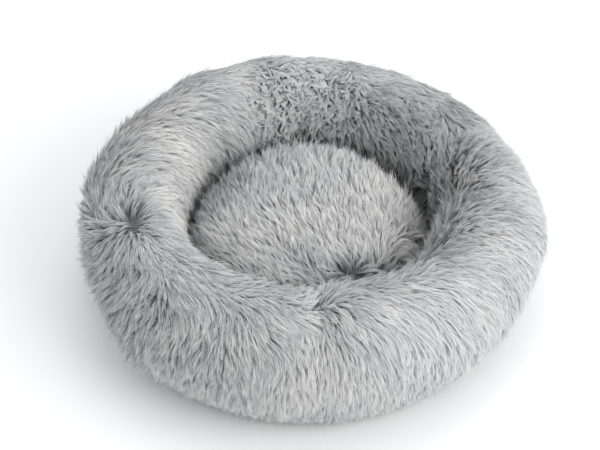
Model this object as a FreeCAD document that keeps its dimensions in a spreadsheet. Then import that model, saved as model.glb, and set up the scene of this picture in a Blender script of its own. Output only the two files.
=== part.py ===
import FreeCAD, Part
import math
import os

import Sketcher

# Round plush bed for a small pet: a stuffed ring of eight lobes on a padded base, with a loose
# domed cushion in the nest.  The ring is emptied for washing through a curved zip on the sloping
# underside at the rear.  Millimetres, +Z up.  The origin is the middle of the base where it rests
# on the floor.  +X is the right-hand side and +Y the rear.

doc = FreeCAD.newDocument("pet_cushion_bed")

# ---------------------------------------------------------------- driving dimensions

DIMENSIONS = [
    # the ring, measured over the pile
    ("ring_radius", 228.0),
    ("ring_half_width", 72.0),
    ("ring_height", 184.0),
    ("waist_height", 100.0),
    ("pile_depth", 18.0),
    ("outer_hem_radius", 262.0),
    ("outer_hem_height", 14.4),
    ("outer_hem_depth", 9.6),
    ("nest_radius", 190.0),
    ("nest_hem_height", 16.6),
    ("nest_hem_depth", 5.4),
    # the stuffing inside it
    ("fill_gap", 1.0),
    ("fill_underside", 14.0),
    ("fill_flat_inner", 208.0),
    ("fill_flat_outer", 226.0),
    ("fill_end_rounding", 16.0),
    ("lobe_end_clearance", 0.5),
    ("divider_thickness", 1.2),
    # the base
    ("dot_radius", 4.0),
    ("dot_height", 1.6),
    ("dot_ring_pitch", 35.0),
    ("dot_ring_count", 6.0),
    ("base_thickness", 1.5),
    ("base_bend_start", 219.6),
    ("base_bend_radius", 30.0),
    ("base_rim_radius", 260.0),
    ("rim_slope", 24.0),
    ("wadding_radius", 216.0),
    ("wadding_bottom", 3.3),
    ("wadding_top", 13.5),
    ("lining_thickness", 1.2),
    ("layer_gap", 0.2),
    ("tape_ring_thickness", 1.4),
    ("binding_overlap", 3.0),
    ("label_width", 50.0),
    ("label_depth", 32.0),
    ("label_thickness", 0.4),
    ("label_distance", 152.0),
    ("label_margin", 2.0),
    # the loose cushion
    ("cushion_radius", 154.0),
    ("cushion_crown", 115.0),
    ("cushion_shoulder_height", 72.0),
    ("cushion_shoulder_rounding", 34.0),
    ("cushion_seam_height", 40.0),
    ("cushion_flat_radius", 120.0),
    ("cushion_pile", 14.0),
    ("cushion_seam_allowance", 0.8),
    ("cushion_rest_gap", 0.3),
    # the zip
    ("zip_radius", 248.0),
    ("zip_start_angle", 58.5),
    ("zip_sweep", 63.0),
    ("slit_half_width", 5.2),
    ("slit_margin_angle", 1.5),
    ("zip_tape_thickness", 0.8),
    ("zip_tape_half_width", 12.0),
    ("coil_inner", 0.9),
    ("coil_width", 1.8),
    ("coil_half_height", 1.2),
    ("coil_tape_gap", 0.1),
    ("stop_length", 2.4),
    ("slider_length", 11.0),
    ("slider_width", 9.0),
    ("slider_tail_width", 7.0),
    ("slider_thickness", 5.2),
    ("slider_web_half", 0.6),
    ("slider_end_clearance", 0.5),
    ("slider_coil_half_width", 3.2),
    ("slider_coil_half_height", 1.6),
    ("slider_tape_half_height", 0.75),
    ("bridge_half_length", 4.0),
    ("bridge_post", 1.0),
    ("bridge_width", 1.6),
    ("bridge_drop", 3.6),
    ("pull_length", 20.0),
    ("pull_half_width", 3.2),
    ("pull_thickness", 1.4),
    ("eye_half_width", 1.9),
    ("eye_length", 4.9),
    ("grip_slot_length", 7.0),
    ("grip_slot_half_width", 1.4),
    ("pull_corner", 2.4),
]

# where the ring is pinched between lobes, counterclockwise from +X
DIVIDER_ANGLES = [22.0, 45.0, 93.0, 135.0, 203.0, 225.0, 273.0, 315.0]

sheet = doc.addObject("Spreadsheet::Sheet", "dims")
for row, (alias, number) in enumerate(DIMENSIONS, start=1):
    cell = "B%d" % row
    sheet.set("A%d" % row, alias)
    sheet.set(cell, str(number))
    sheet.setAlias(cell, alias)
for index, angle in enumerate(DIVIDER_ANGLES, start=1):
    cell = "B%d" % (len(DIMENSIONS) + index)
    sheet.set(cell, str(angle))
    sheet.setAlias(cell, "divider_angle_%d" % index)
doc.recompute()


class Size:
    """A dimension that carries its number and the sheet expression it comes from."""

    def __init__(self, number, text):
        self.number = float(number)
        self.text = text

    def __add__(self, other):
        return joined(self, "+", other, self.number + as_size(other).number)

    def __sub__(self, other):
        return joined(self, "-", other, self.number - as_size(other).number)

    def __mul__(self, other):
        return joined(self, "*", other, self.number * as_size(other).number)

    def __truediv__(self, other):
        return joined(self, "/", other, self.number / as_size(other).number)

    def __neg__(self):
        return joined(as_size(0), "-", self, -self.number)


def as_size(value):
    return value if isinstance(value, Size) else Size(value, repr(float(value)))


def joined(left, sign, right, number):
    return Size(number, "(%s %s %s)" % (left.text, sign, as_size(right).text))


def dim(alias):
    return Size(sheet.get(alias), "dims." + alias)


def sine(angle):
    return Size(math.sin(math.radians(angle.number)), "sin(%s * 1 deg)" % angle.text)


def cosine(angle):
    return Size(math.cos(math.radians(angle.number)), "cos(%s * 1 deg)" % angle.text)


# ---------------------------------------------------------------- sketches and features


class Corner:
    """A corner of an outline.  The edge that leaves it is straight, or is an arc whose centre
    has the height arc, run counterclockwise unless clockwise is set."""

    def __init__(self, across, up, arc=None, clockwise=False):
        self.across = as_size(across)
        self.up = as_size(up)
        self.arc = None if arc is None else as_size(arc)
        self.clockwise = clockwise

    def point(self):
        return FreeCAD.Vector(self.across.number, self.up.number, 0)


def arc_between(start, end, centre_height, clockwise):
    """Arc of a circle through two points, with its centre at a stated height."""
    rise = (centre_height - end.y) ** 2 - (centre_height - start.y) ** 2
    centre_across = (end.x ** 2 - start.x ** 2 + rise) / (2.0 * (end.x - start.x))
    centre = FreeCAD.Vector(centre_across, centre_height, 0)
    first, last = (end, start) if clockwise else (start, end)
    first_angle = math.atan2(first.y - centre.y, first.x - centre.x)
    last_angle = math.atan2(last.y - centre.y, last.x - centre.x)
    circle = Part.Circle(centre, FreeCAD.Vector(0, 0, 1), centre.distanceToPoint(first))
    return Part.ArcOfCircle(circle, first_angle, last_angle)


def bind_point(sketch, geometry, position, across, up):
    """Tie a sketch point to the sheet: a datum each way, or the axis itself where it lies on it."""
    for kind, size, axis in (("DistanceX", across, -2), ("DistanceY", up, -1)):
        if size is None:
            continue
        if abs(size.number) < 1e-9:
            sketch.addConstraint(Sketcher.Constraint("PointOnObject", geometry, position, axis))
            continue
        index = sketch.addConstraint(
            Sketcher.Constraint(kind, -1, 1, geometry, position, size.number))
        name = "size_%d" % index
        sketch.renameConstraint(index, name)
        sketch.setExpression("Constraints." + name, size.text)


def add_outline(sketch, corners):
    """Draw one closed outline through its corners, fully tied to the sheet."""
    first_geometry = sketch.GeometryCount
    ends = []
    for index, corner in enumerate(corners):
        start = corner.point()
        end = corners[(index + 1) % len(corners)].point()
        if corner.arc is None:
            sketch.addGeometry(Part.LineSegment(start, end), False)
        else:
            arc = arc_between(start, end, corner.arc.number, corner.clockwise)
            sketch.addGeometry(arc, False)
        ends.append((2, 1) if corner.clockwise else (1, 2))
    for index, corner in enumerate(corners):
        geometry = first_geometry + index
        following = (index + 1) % len(corners)
        sketch.addConstraint(Sketcher.Constraint(
            "Coincident", geometry, ends[index][1], first_geometry + following, ends[following][0]))
        bind_point(sketch, geometry, ends[index][0], corner.across, corner.up)
        if corner.arc is not None:
            bind_point(sketch, geometry, 3, None, corner.arc)


def new_body(label):
    body = doc.addObject("PartDesign::Body", label)
    body.Label = label
    return body


def new_sketch(body, name, plane_role, outlines, turn=0.0):
    """Sketch on one of the body's own origin planes, turned about its upright axis if asked."""
    sketch = body.newObject("Sketcher::SketchObject", body.Label + "_" + name)
    plane = [item for item in body.Origin.OriginFeatures if item.Role == plane_role][0]
    sketch.AttachmentSupport = (plane, [""])
    sketch.MapMode = "FlatFace"
    if turn:
        rotation = FreeCAD.Rotation(FreeCAD.Vector(0, 1, 0), turn)
        sketch.AttachmentOffset = FreeCAD.Placement(FreeCAD.Vector(), rotation)
    for corners in outlines:
        add_outline(sketch, corners)
    return sketch


def revolve(body, name, corners, sweep=None, turn=0.0, cut=False):
    """Revolve an outline about Z, through a full turn or through a sweep in degrees."""
    sketch = new_sketch(body, name + "_profile", "XZ_Plane", [corners], turn)
    kind = "PartDesign::Groove" if cut else "PartDesign::Revolution"
    feature = body.newObject(kind, body.Label + "_" + name)
    feature.Profile = sketch
    feature.ReferenceAxis = (sketch, ["V_Axis"])
    if sweep is None:
        feature.Angle = 360
    else:
        feature.setExpression("Angle", sweep.text)
    return feature


def pad(body, name, plane_role, outlines, thickness):
    """Pad outlines by half the thickness to each side of an origin plane."""
    sketch = new_sketch(body, name + "_outline", plane_role, outlines)
    feature = body.newObject("PartDesign::Pad", body.Label + "_" + name)
    feature.Profile = sketch
    feature.SideType = "Symmetric"
    feature.setExpression("Length", thickness.text)
    return feature


def turned(angle):
    return FreeCAD.Placement(FreeCAD.Vector(), FreeCAD.Rotation(FreeCAD.Vector(0, 0, 1), angle))


def check_volume(before, after, what):
    """A cut that points the wrong way removes nothing and shows no error."""
    if not after < before - 1.0:
        raise RuntimeError(what + " removed nothing")


# ---------------------------------------------------------------- the ring

RING = dim("ring_radius")
OUTSIDE = RING + dim("ring_half_width")
INSIDE = RING - dim("ring_half_width")
WAIST = dim("waist_height")
CREST_CENTRE = dim("ring_height") - dim("ring_half_width")


def lobe_span(number):
    """Angles at which a lobe starts and ends, with the end always the larger."""
    following = number % len(DIVIDER_ANGLES) + 1
    start = dim("divider_angle_%d" % number)
    end = dim("divider_angle_%d" % following)
    if following < number:
        end = end + 360
    return start, end


def make_bolster_gore(number):
    """One lobe's plush, as a thick shell over the stuffing that is open underneath between its
    two hems.  Gores meet at the pinches, where they are sewn to each other and to the divider."""
    pile = dim("pile_depth")
    outer_hem = dim("outer_hem_radius")
    inner_hem = dim("nest_radius")
    start, end = lobe_span(number)
    body = new_body("bolster_gore_%d" % number)
    revolve(body, "shell", [
        Corner(outer_hem, dim("outer_hem_height"), arc=WAIST),
        Corner(OUTSIDE, WAIST),
        Corner(OUTSIDE, CREST_CENTRE, arc=CREST_CENTRE),
        Corner(INSIDE, CREST_CENTRE),
        Corner(INSIDE, WAIST, arc=WAIST),
        Corner(inner_hem, dim("nest_hem_height")),
        Corner(inner_hem, dim("nest_hem_height") + dim("nest_hem_depth"), arc=WAIST, clockwise=True),
        Corner(INSIDE + pile, WAIST),
        Corner(INSIDE + pile, CREST_CENTRE, arc=CREST_CENTRE, clockwise=True),
        Corner(OUTSIDE - pile, CREST_CENTRE),
        Corner(OUTSIDE - pile, WAIST, arc=WAIST, clockwise=True),
        Corner(outer_hem, dim("outer_hem_height") + dim("outer_hem_depth")),
    ], sweep=end - start)
    body.Placement = turned(start.number)
    return body


def fill_outline():
    """Section of the stuffing: round on top, settling to a flat underneath."""
    inset = dim("pile_depth") + dim("fill_gap")
    return [
        Corner(OUTSIDE - inset, WAIST),
        Corner(OUTSIDE - inset, CREST_CENTRE, arc=CREST_CENTRE),
        Corner(INSIDE + inset, CREST_CENTRE),
        Corner(INSIDE + inset, WAIST, arc=WAIST),
        Corner(dim("fill_flat_inner"), dim("fill_underside")),
        Corner(dim("fill_flat_outer"), dim("fill_underside"), arc=WAIST),
    ]


def end_edges(shape, angle):
    """Names of the edges that lie in the upright plane through the axis at an angle."""
    normal = FreeCAD.Vector(-math.sin(math.radians(angle)), math.cos(math.radians(angle)), 0)
    ahead = FreeCAD.Vector(math.cos(math.radians(angle)), math.sin(math.radians(angle)), 0)
    names = []
    for index, edge in enumerate(shape.Edges, start=1):
        middle = edge.valueAt((edge.FirstParameter + edge.LastParameter) / 2.0)
        points = [vertex.Point for vertex in edge.Vertexes] + [middle]
        flat = all(abs(point.dot(normal)) < 1e-4 and point.dot(ahead) > 0 for point in points)
        if flat:
            names.append("Edge%d" % index)
    return names


def make_bolster_fill(number):
    """One lobe of stuffing between two dividers, with softly rounded ends."""
    start, end = lobe_span(number)
    clearance = dim("lobe_end_clearance")
    sweep = end - start - clearance * 2
    body = new_body("bolster_fill_%d" % number)
    lobe = revolve(body, "lobe", fill_outline(), sweep=sweep)
    doc.recompute()
    soft = body.newObject("PartDesign::Fillet", body.Label + "_ends")
    names = end_edges(lobe.Shape, 0.0) + end_edges(lobe.Shape, sweep.number)
    soft.Base = (lobe, names)
    soft.setExpression("Radius", dim("fill_end_rounding").text)
    body.Placement = turned(start.number + clearance.number)
    return body


def make_bolster_divider(number):
    """Web of lining across the ring that pinches the cover and keeps the lobes apart."""
    body = new_body("bolster_divider_%d" % number)
    pad(body, "web", "XZ_Plane", [fill_outline()], dim("divider_thickness"))
    body.Placement = turned(dim("divider_angle_%d" % number).number)
    return body


# ---------------------------------------------------------------- the base

DOT = dim("dot_height")
BASE = dim("base_thickness")
SLOPE = dim("rim_slope")
BEND_RADIUS = dim("base_bend_radius")
BEND_START = dim("base_bend_start")
BEND_CENTRE = DOT + BEND_RADIUS
BEND_END = BEND_START + BEND_RADIUS * sine(SLOPE)
BEND_END_HEIGHT = DOT + BEND_RADIUS * (as_size(1) - cosine(SLOPE))
RIM = dim("base_rim_radius")
SLOPE_RISE = sine(SLOPE) / cosine(SLOPE)
RIM_HEIGHT = BEND_END_HEIGHT + (RIM - BEND_END) * SLOPE_RISE

# middle of the zip: its tapes lie on top of the sloping rim
ZIP = dim("zip_radius")
TAPE_HALF = dim("zip_tape_thickness") / 2
ZIP_LIFT = BASE + dim("layer_gap") + TAPE_HALF
ZIP_ACROSS = ZIP - ZIP_LIFT * sine(SLOPE)
ZIP_UP = BEND_END_HEIGHT + (ZIP - BEND_END) * SLOPE_RISE + ZIP_LIFT * cosine(SLOPE)


def on_slope(across, lift):
    """Corner at a distance up the slope from the middle of the zip, and a lift square to it."""
    across = as_size(across)
    lift = as_size(lift)
    return Corner(ZIP_ACROSS + across * cosine(SLOPE) - lift * sine(SLOPE),
                  ZIP_UP + across * sine(SLOPE) + lift * cosine(SLOPE))


def slope_strip(low, high, under, over):
    """Rectangle that lies along the slope, such as a section of a tape."""
    return [on_slope(low, under), on_slope(high, under), on_slope(high, over), on_slope(low, over)]


def make_base_panel():
    """One disc of coated cloth, flat in the middle with its rim drawn up to the seam."""
    body = new_body("base_panel")
    inner_bend = BEND_RADIUS - BASE
    panel = revolve(body, "disc", [
        Corner(0, DOT),
        Corner(BEND_START, DOT, arc=BEND_CENTRE),
        Corner(BEND_END, BEND_END_HEIGHT),
        Corner(RIM, RIM_HEIGHT),
        Corner(RIM - BASE * sine(SLOPE), RIM_HEIGHT + BASE * cosine(SLOPE)),
        Corner(BEND_START + inner_bend * sine(SLOPE), BEND_CENTRE - inner_bend * cosine(SLOPE),
               arc=BEND_CENTRE, clockwise=True),
        Corner(BEND_START, DOT + BASE),
        Corner(0, DOT + BASE),
    ])
    doc.recompute()
    half = dim("slit_half_width")
    depth = BASE * 2 + ZIP_LIFT
    margin = dim("slit_margin_angle")
    slit = revolve(body, "slit", slope_strip(-half, half, -depth, TAPE_HALF),
                   sweep=dim("zip_sweep") - margin * 2,
                   turn=dim("zip_start_angle").number + margin.number, cut=True)
    doc.recompute()
    check_volume(panel.Shape.Volume, slit.Shape.Volume, "the zip slit")
    return body


def make_disc(label, radius, low, high):
    """Flat round layer of the base."""
    disc = doc.addObject("Part::Cylinder", label)
    disc.Label = label
    disc.setExpression("Radius", radius.text)
    disc.setExpression("Height", (high - low).text)
    disc.Placement.Base = FreeCAD.Vector(0, 0, low.number)
    disc.setExpression("Placement.Base.z", low.text)
    return disc


def make_ring_tape(label, inner, low, high):
    """Binding tape that stands upright round a seam."""
    body = new_body(label)
    outer = inner + dim("tape_ring_thickness")
    revolve(body, "band",
            [Corner(inner, low), Corner(outer, low), Corner(outer, high), Corner(inner, high)])
    return body


def label_clears(across, along):
    """True where a grip dot stays off the care label."""
    margin = dim("dot_radius").number + dim("label_margin").number
    beside = abs(across) > dim("label_width").number / 2 + margin
    front = along < dim("label_distance").number - margin
    behind = along > (dim("label_distance") + dim("label_depth")).number + margin
    return beside or front or behind


def make_grip_dots():
    """Moulded non-slip dots under the flat of the base, in rings round a middle one."""
    dots = []
    pitch = dim("dot_ring_pitch")
    for ring in range(int(dim("dot_ring_count").number) + 1):
        count = max(1, 6 * ring)
        for place in range(count):
            angle = 2 * math.pi * place / count
            across = pitch.number * ring * math.cos(angle)
            along = pitch.number * ring * math.sin(angle)
            if not label_clears(across, along):
                continue
            dot = doc.addObject("Part::Cylinder", "dot_%d_%d" % (ring, place))
            dot.setExpression("Radius", dim("dot_radius").text)
            dot.setExpression("Height", DOT.text)
            dot.Placement.Base = FreeCAD.Vector(across, along, 0)
            dots.append(dot)
    group = doc.addObject("Part::Compound", "grip_dots")
    group.Label = "grip_dots"
    group.Links = dots
    return group


def make_care_label():
    """Blank label stitched flat under the base, between the dots and the zip."""
    tag = doc.addObject("Part::Box", "care_label")
    tag.Label = "care_label"
    tag.setExpression("Length", dim("label_width").text)
    tag.setExpression("Width", dim("label_depth").text)
    tag.setExpression("Height", dim("label_thickness").text)
    tag.setExpression("Placement.Base.x", (-dim("label_width") / 2).text)
    tag.setExpression("Placement.Base.y", dim("label_distance").text)
    tag.setExpression("Placement.Base.z", (DOT - dim("label_thickness")).text)
    return tag


# ---------------------------------------------------------------- the loose cushion

LINING_BOTTOM = dim("wadding_top") + dim("layer_gap")
LINING_TOP = LINING_BOTTOM + dim("lining_thickness")
CUSHION_BASE = LINING_TOP + dim("cushion_rest_gap")
SEAM = dim("cushion_seam_height")
SHOULDER = dim("cushion_shoulder_height")
SEAM_ALLOWANCE = dim("cushion_seam_allowance")
FLAT = dim("cushion_flat_radius")


def dome_corners(inset):
    """Right-hand side of the dome inside the pile: shoulder, then the crown out to the axis."""
    radius = dim("cushion_radius")
    rounding = dim("cushion_shoulder_rounding")
    reach = radius - rounding
    drop = dim("cushion_crown") - SHOULDER
    crown = (reach * reach + drop * drop - rounding * rounding) / ((drop - rounding) * 2)
    share = (rounding - inset) / (crown - rounding)
    meet_across = reach + reach * share
    meet_up = SHOULDER + (crown - drop) * share
    return [
        Corner(radius - inset, SHOULDER, arc=SHOULDER),
        Corner(meet_across, meet_up, arc=dim("cushion_crown") - crown),
        Corner(0, dim("cushion_crown") - inset),
    ]


def bowl_point(inset):
    """Centre height of the turned-up edge under the cushion, and its end on the seam."""
    run = dim("cushion_radius") - FLAT
    rise = SEAM - CUSHION_BASE
    radius = (run * run + rise * rise) / (rise * 2)
    centre = CUSHION_BASE + radius
    share = (radius - inset) / radius
    return centre, FLAT + run * share, centre - (centre - SEAM) * share


def make_cushion_cover_top():
    """Plush top of the cushion as a thick shell, down to the seam round its side."""
    pile = dim("cushion_pile")
    radius = dim("cushion_radius")
    outer = dome_corners(as_size(0))
    inner = dome_corners(pile)
    body = new_body("cushion_cover_top")
    revolve(body, "dome", [
        Corner(radius - pile, SEAM),
        Corner(radius, SEAM),
        outer[0],
        outer[1],
        outer[2],
        Corner(0, inner[2].up, arc=inner[1].arc, clockwise=True),
        Corner(inner[1].across, inner[1].up, arc=SHOULDER, clockwise=True),
        Corner(inner[0].across, inner[0].up),
    ])
    return body


def make_cushion_cover_base():
    """Plain lining under the cushion, turned up at its edge to the seam."""
    thickness = dim("lining_thickness")
    centre, outer_across, outer_up = bowl_point(as_size(0))
    _, inner_across, inner_up = bowl_point(thickness)
    body = new_body("cushion_cover_base")
    revolve(body, "dish", [
        Corner(0, CUSHION_BASE),
        Corner(FLAT, CUSHION_BASE, arc=centre),
        Corner(outer_across, outer_up - SEAM_ALLOWANCE),
        Corner(inner_across, inner_up - SEAM_ALLOWANCE, arc=centre, clockwise=True),
        Corner(FLAT, CUSHION_BASE + thickness),
        Corner(0, CUSHION_BASE + thickness),
    ])
    return body


def make_cushion_fill():
    """Loose fibre that fills the cushion."""
    gap = dim("fill_gap")
    inset = dim("lining_thickness") + gap
    centre, side_across, side_up = bowl_point(inset)
    dome = dome_corners(dim("cushion_pile") + gap)
    body = new_body("cushion_fill")
    revolve(body, "stuffing", [
        Corner(0, CUSHION_BASE + inset),
        Corner(FLAT, CUSHION_BASE + inset, arc=centre),
        Corner(dome[0].across, side_up - (side_across - dome[0].across)),
        dome[0],
        dome[1],
        dome[2],
    ])
    return body


# ---------------------------------------------------------------- the zip


def slope_placement(angle):
    """Frame on the zip's curve: X up the slope, Y along the zip, Z square to the tapes."""
    seat = FreeCAD.Placement(FreeCAD.Vector(ZIP_ACROSS.number, 0, ZIP_UP.number),
                             FreeCAD.Rotation(FreeCAD.Vector(0, 1, 0), -SLOPE.number))
    return turned(angle) * seat


def along_zip(length):
    """Angle at the bed's axis that a length takes up along the zip's curve."""
    return math.degrees(length / ZIP.number)


ZIP_START = dim("zip_start_angle").number
ZIP_END = ZIP_START + dim("zip_sweep").number
COIL_START = ZIP_START + dim("slit_margin_angle").number + along_zip(dim("stop_length").number) * 1.5
COIL_END = ZIP_END - dim("slit_margin_angle").number - along_zip(dim("stop_length").number) * 1.5
SLIDER_HALF_ANGLE = along_zip((dim("slider_length") / 2 + dim("slider_end_clearance")).number)
SLIDER_CLOSED = COIL_START + SLIDER_HALF_ANGLE
SLIDER_OPEN = COIL_END - SLIDER_HALF_ANGLE


def make_zip_strip(label, low, high, half_thickness, start, end):
    """Tape or coil of the zip: a strip that lies along the slope."""
    body = new_body(label)
    revolve(body, "strip", slope_strip(low, high, -half_thickness, half_thickness),
            sweep=as_size(end - start))
    body.Placement = turned(start)
    return body


def make_zip_stops():
    """Two crimped stops that keep the slider on the coils."""
    length = dim("stop_length")
    blocks = []
    for name, angle in (("zip_stop_closed", COIL_START - along_zip(length.number)),
                        ("zip_stop_open", COIL_END + along_zip(length.number))):
        block = doc.addObject("Part::Box", name)
        block.setExpression("Length", ((dim("coil_inner") + dim("coil_width")) * 2).text)
        block.setExpression("Width", length.text)
        block.setExpression("Height", (dim("coil_half_height") * 2).text)
        half_width = (dim("coil_inner") + dim("coil_width")).number
        corner = FreeCAD.Vector(-half_width, -length.number / 2, -dim("coil_half_height").number)
        block.Placement = slope_placement(angle) * FreeCAD.Placement(corner, FreeCAD.Rotation())
        blocks.append(block)
    group = doc.addObject("Part::Compound", "zip_stops")
    group.Label = "zip_stops"
    group.Links = blocks
    return group


def rectangle(low_across, high_across, low_up, high_up):
    return [Corner(low_across, low_up), Corner(high_across, low_up),
            Corner(high_across, high_up), Corner(low_across, high_up)]


def make_zip_slider():
    """Two plates joined by a web between the coils, with a bridge below for the pull."""
    half = dim("slider_length") / 2
    front = dim("slider_width") / 2
    tail = dim("slider_tail_width") / 2
    deck = dim("slider_thickness") / 2
    body = new_body("zip_slider")
    plates = pad(body, "plates", "XY_Plane", [[
        Corner(-tail, -half), Corner(tail, -half), Corner(front, half / 3),
        Corner(front, half), Corner(-front, half), Corner(-front, half / 3),
    ]], dim("slider_thickness"))
    doc.recompute()
    web = dim("slider_web_half")
    coil_across = dim("slider_coil_half_width")
    coil_up = dim("slider_coil_half_height")
    tape_up = dim("slider_tape_half_height")
    edge = dim("slider_width")
    channel_sketch = new_sketch(body, "channel_outline", "XZ_Plane", [[
        Corner(web, -coil_up), Corner(coil_across, -coil_up), Corner(coil_across, -tape_up),
        Corner(edge, -tape_up), Corner(edge, tape_up), Corner(coil_across, tape_up),
        Corner(coil_across, coil_up), Corner(web, coil_up),
    ]])
    channel = body.newObject("PartDesign::Pocket", "zip_slider_channel")
    channel.Profile = channel_sketch
    channel.SideType = "Symmetric"
    channel.setExpression("Length", (dim("slider_length") * 2).text)
    doc.recompute()
    check_volume(plates.Shape.Volume, channel.Shape.Volume, "the first zip channel")
    both = body.newObject("PartDesign::Mirrored", "zip_slider_channels")
    both.Originals = [channel]
    plane = [item for item in body.Origin.OriginFeatures if item.Role == "YZ_Plane"][0]
    both.MirrorPlane = (plane, [""])
    body.Tip = both
    doc.recompute()
    check_volume(channel.Shape.Volume, both.Shape.Volume, "the second zip channel")
    reach = dim("bridge_half_length")
    post = dim("bridge_post")
    low = deck + dim("bridge_drop")
    pad(body, "bridge", "YZ_Plane", [[
        Corner(-reach, -deck), Corner(-reach, -low), Corner(reach, -low), Corner(reach, -deck),
        Corner(reach - post, -deck), Corner(reach - post, post - low),
        Corner(post - reach, post - low), Corner(post - reach, -deck),
    ]], dim("bridge_width"))
    body.Placement = slope_placement(SLIDER_CLOSED)
    return body


def pull_pivot():
    """Height of the pull's crossbar, midway between the slider's plate and its bridge."""
    opening = dim("bridge_drop") - dim("bridge_post")
    return -(dim("slider_thickness") / 2 + opening / 2)


def make_zip_pull():
    """Flat tab that hangs on the bridge by its eye, with a slot for a finger nail."""
    half_bar = dim("pull_thickness") / 2
    side = dim("pull_half_width")
    tip = dim("pull_length")
    eye_end = half_bar + dim("eye_length")
    slot_start = eye_end + dim("pull_thickness") * 2
    body = new_body("zip_pull")
    tab = pad(body, "tab", "XY_Plane", [
        rectangle(-side, side, -half_bar, tip),
        rectangle(-dim("eye_half_width"), dim("eye_half_width"), half_bar, eye_end),
        rectangle(-dim("grip_slot_half_width"), dim("grip_slot_half_width"), slot_start,
                  slot_start + dim("grip_slot_length")),
    ], dim("pull_thickness"))
    doc.recompute()
    corners = []
    for index, edge in enumerate(tab.Shape.Edges, start=1):
        upright = abs(edge.Vertexes[0].Z - edge.Vertexes[-1].Z) > half_bar.number
        at_tip = min(vertex.Y for vertex in edge.Vertexes) > tip.number - 0.01
        if upright and at_tip:
            corners.append("Edge%d" % index)
    rounded = body.newObject("PartDesign::Fillet", "zip_pull_rounding")
    rounded.Base = (tab, corners)
    rounded.setExpression("Radius", dim("pull_corner").text)
    pivot = FreeCAD.Placement(FreeCAD.Vector(0, 0, pull_pivot().number), FreeCAD.Rotation())
    body.Placement = slope_placement(SLIDER_CLOSED) * pivot
    return body


# ---------------------------------------------------------------- assembly

sub_parts = []
for lobe_number in range(1, len(DIVIDER_ANGLES) + 1):
    sub_parts.append(make_bolster_gore(lobe_number))
    sub_parts.append(make_bolster_fill(lobe_number))
    sub_parts.append(make_bolster_divider(lobe_number))

sub_parts.append(make_base_panel())
sub_parts.append(make_disc("base_wadding", dim("wadding_radius"),
                           dim("wadding_bottom"), dim("wadding_top")))
sub_parts.append(make_disc("nest_lining", dim("nest_radius"), LINING_BOTTOM, LINING_TOP))
sub_parts.append(make_ring_tape("nest_seam_tape", dim("nest_radius") + dim("layer_gap"),
                                LINING_BOTTOM, dim("nest_hem_height") + dim("nest_hem_depth")))
sub_parts.append(make_ring_tape("base_seam_binding", RIM + dim("layer_gap"),
                                RIM_HEIGHT - dim("binding_overlap"),
                                dim("outer_hem_height") + dim("outer_hem_depth")))
sub_parts.append(make_grip_dots())
sub_parts.append(make_care_label())

sub_parts.append(make_cushion_cover_top())
sub_parts.append(make_cushion_cover_base())
sub_parts.append(make_cushion_fill())

coil_outer = dim("coil_inner") + dim("coil_width")
tape_edge = coil_outer + dim("coil_tape_gap")
tape_reach = dim("zip_tape_half_width")
coil_half = dim("coil_half_height")
sub_parts.append(make_zip_strip("zip_tape_outer", tape_edge, tape_reach, TAPE_HALF,
                                ZIP_START, ZIP_END))
sub_parts.append(make_zip_strip("zip_tape_inner", -tape_reach, -tape_edge, TAPE_HALF,
                                ZIP_START, ZIP_END))
sub_parts.append(make_zip_strip("zip_coil_outer", dim("coil_inner"), coil_outer, coil_half,
                                COIL_START, COIL_END))
sub_parts.append(make_zip_strip("zip_coil_inner", -coil_outer, -dim("coil_inner"), coil_half,
                                COIL_START, COIL_END))
sub_parts.append(make_zip_stops())
sub_parts.append(make_zip_slider())
sub_parts.append(make_zip_pull())

doc.recompute()

faults = [item.Label for item in doc.Objects if {"Invalid", "Error"} & set(item.State)]
for part in sub_parts:
    if part.Shape.isNull() or not part.Shape.isValid() or not part.Shape.Solids:
        faults.append(part.Label + " has no valid solid")
if faults:
    raise RuntimeError("not built: " + ", ".join(faults))

os.makedirs("parts", exist_ok=True)
for part in sub_parts:
    part.Shape.exportStep("parts/" + part.Label + ".step")
    box = part.Shape.BoundBox
    print("%-20s %9.0f mm3  z %6.1f to %6.1f" % (part.Label, part.Shape.Volume, box.ZMin, box.ZMax))

pivot_place = slope_placement(SLIDER_CLOSED).multVec(FreeCAD.Vector(0, 0, pull_pivot().number))
pivot_axis = slope_placement(SLIDER_CLOSED).Rotation.multVec(FreeCAD.Vector(-1, 0, 0))
print("zip travel, degrees: %.2f" % (SLIDER_OPEN - SLIDER_CLOSED))
print("pull pivot, metres: %.6f %.6f %.6f" % tuple(value / 1000 for value in pivot_place))
print("pull axis: %.6f %.6f %.6f" % tuple(pivot_axis))
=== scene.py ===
"""Round long-pile pet bed: a stuffed ring of eight lobes, a loose domed cushion and a zipped base."""
import logging
import math
from dataclasses import dataclass, field
from enum import Enum
from typing import Callable, Sequence

import bpy
import numpy as np
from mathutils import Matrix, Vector
from mathutils.bvhtree import BVHTree
from mathutils.kdtree import KDTree


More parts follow.
